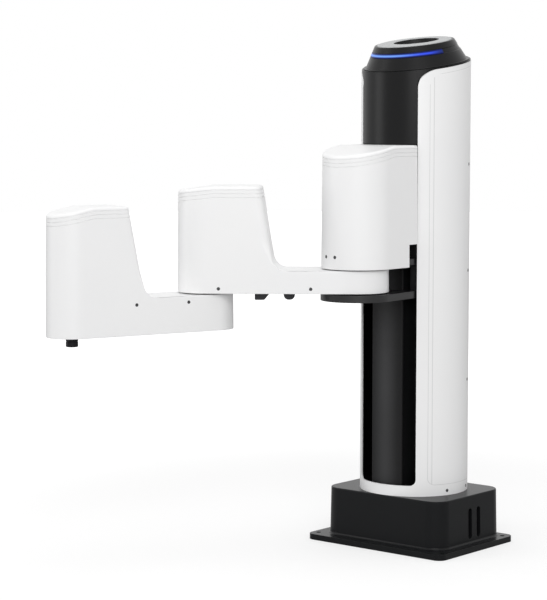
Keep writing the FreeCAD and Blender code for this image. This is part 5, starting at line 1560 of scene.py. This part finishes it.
@dataclass
class Studio:
    """Pale floor and backdrop, soft lamps and the camera at the photograph's angle."""

    lens: float = 123.53
    place: tuple[float, float, float] = (2.2804, 1.6741, 0.6003)
    pitch: float = 84.63
    heading: float = 130.137
    world_level: float = 0.69
    floor_glow: float = 0.56
    floor_glow_far: float = 1.0
    glow_fade: tuple[float, float] = (0.5, 1.8)
    glossy_share: float = 0.15
    paper_near: float = 0.42
    paper_far: float = 0.30
    paper_fade: tuple[float, float] = (0.9, 2.2)
    floor_rings: tuple[float, ...] = (0.0, 600.0, 2500.0, 9000.0)
    floor_steps: int = 64
    floor_drop: float = 0.0002
    lamps: tuple[SoftBox, ...] = (
        SoftBox("key", place=(1.95, 1.6, 1.45), aim=(0.1, 0.0, 0.6), power=32.0, size=(1.7, 1.5)),
        SoftBox("left", place=(1.8, -1.95, 1.05), aim=(0.1, 0.0, 0.9), power=10.0, size=(0.9, 1.9)),
        SoftBox("top", place=(0.3, 0.1, 3.0), aim=(0.1, 0.0, 0.2), power=9.0, size=(1.4, 1.4)))

    def build_camera(self) -> None:
        """Camera at the fitted place."""
        data = bpy.data.cameras.new("camera")
        data.lens = self.lens
        data.sensor_width = 36.0
        data.clip_end = 50.0
        camera = bpy.data.objects.new("camera", data)
        camera.location = self.place
        camera.rotation_euler = (math.radians(self.pitch), 0.0, math.radians(self.heading))
        bpy.context.scene.collection.objects.link(camera)
        bpy.context.scene.camera = camera

    def build_floor(self) -> None:
        """Wide floor disc that adds white of its own where it is seen, more of it farther out, where less light falls.

        The share of that white eases from near to far with the root of the summed squares of X and Y.
        """
        profile = np.array([(radius, 0.0) for radius in self.floor_rings])
        grid = revolve(profile, self.floor_steps) * MM
        mesh = bpy.data.meshes.new("floor")
        numbers = np.arange(grid.shape[0] * grid.shape[1]).reshape(grid.shape[:2])
        ahead = np.roll(numbers, -1, axis=1)
        quads = np.stack([numbers[:-1], numbers[1:], ahead[1:], ahead[:-1]], axis=-1).reshape(-1, 4)
        mesh.from_pydata(grid.reshape(-1, 3) - np.array([0.0, 0.0, self.floor_drop]), [], quads)
        floor = bpy.data.objects.new("floor", mesh)
        bpy.context.scene.collection.objects.link(floor)
        shader = Shader("floor_paper", {"Roughness": 0.9, "Emission Strength": 1.0})
        fibre = shader.noise(400.0, 2.0)
        distance = (shader.x * shader.x + shader.y * shader.y).root()
        near, far = ((grey, grey, grey, 1.0) for grey in (self.paper_near, self.paper_far))
        shader.colour(shader.mix(distance.ramp(*self.paper_fade) + fibre * 0.02, near, far))
        rays = shader.node("ShaderNodeLightPath", {}, {})
        camera, glossy, through = (Value(shader, rays.outputs[kind])
                                   for kind in ("Is Camera Ray", "Is Glossy Ray", "Is Transmission Ray"))
        seen = camera.most(glossy * self.glossy_share).most(through)
        level = distance.ramp(*self.glow_fade, self.floor_glow, self.floor_glow_far)
        glow = shader.mix(seen * level, (0.0, 0.0, 0.0, 1.0), (1.0, 1.0, 1.0, 1.0))
        shader.feed(shader.surface.inputs["Emission Color"], glow)
        mesh.materials.append(shader.material)

    def build_world(self) -> None:
        """Even pale surroundings that show as plain white to the camera and in reflections."""
        world = bpy.data.worlds.new("studio")
        world.use_nodes = True
        tree = world.node_tree
        background = next(node for node in tree.nodes if node.type == "BACKGROUND")
        background.inputs["Color"].default_value = (1.0, 1.0, 1.0, 1.0)
        rays = tree.nodes.new("ShaderNodeLightPath")

        def maths(operation: str, first: object, second: object) -> bpy.types.NodeSocket:
            """Adds one Math node for an operation on sockets or numbers."""
            made = tree.nodes.new("ShaderNodeMath")
            made.operation = operation
            for socket, value in zip(made.inputs, (first, second)):
                if isinstance(value, bpy.types.NodeSocket):
                    tree.links.new(value, socket)
                else:
                    socket.default_value = value
            return made.outputs[0]

        seen = maths("MAXIMUM", rays.outputs["Is Camera Ray"], rays.outputs["Is Transmission Ray"])
        seen = maths("MAXIMUM", seen, rays.outputs["Is Glossy Ray"])
        strength = maths("ADD", maths("MULTIPLY", seen, 1.0 - self.world_level), self.world_level)
        tree.links.new(strength, background.inputs["Strength"])
        bpy.context.scene.world = world

    def build(self) -> None:
        """Sets the whole studio up."""
        bpy.context.scene.view_settings.view_transform = "Standard"
        self.build_camera()
        self.build_floor()
        self.build_world()
        for lamp in self.lamps:
            lamp.build()


def main() -> None:
    """Builds every piece in order and reports it."""
    logging.basicConfig(level=logging.INFO, format="%(message)s")
    column = Column()
    column.build_shell()
    column.build_skin()
    column.build_head_cover()
    Cap(column).build()
    for housing in housings():
        housing.build()
    build_screws()
    build_fittings()
    OutputShaft().build()
    dress_frame()
    Studio().build()


if __name__ == "__main__":
    main()
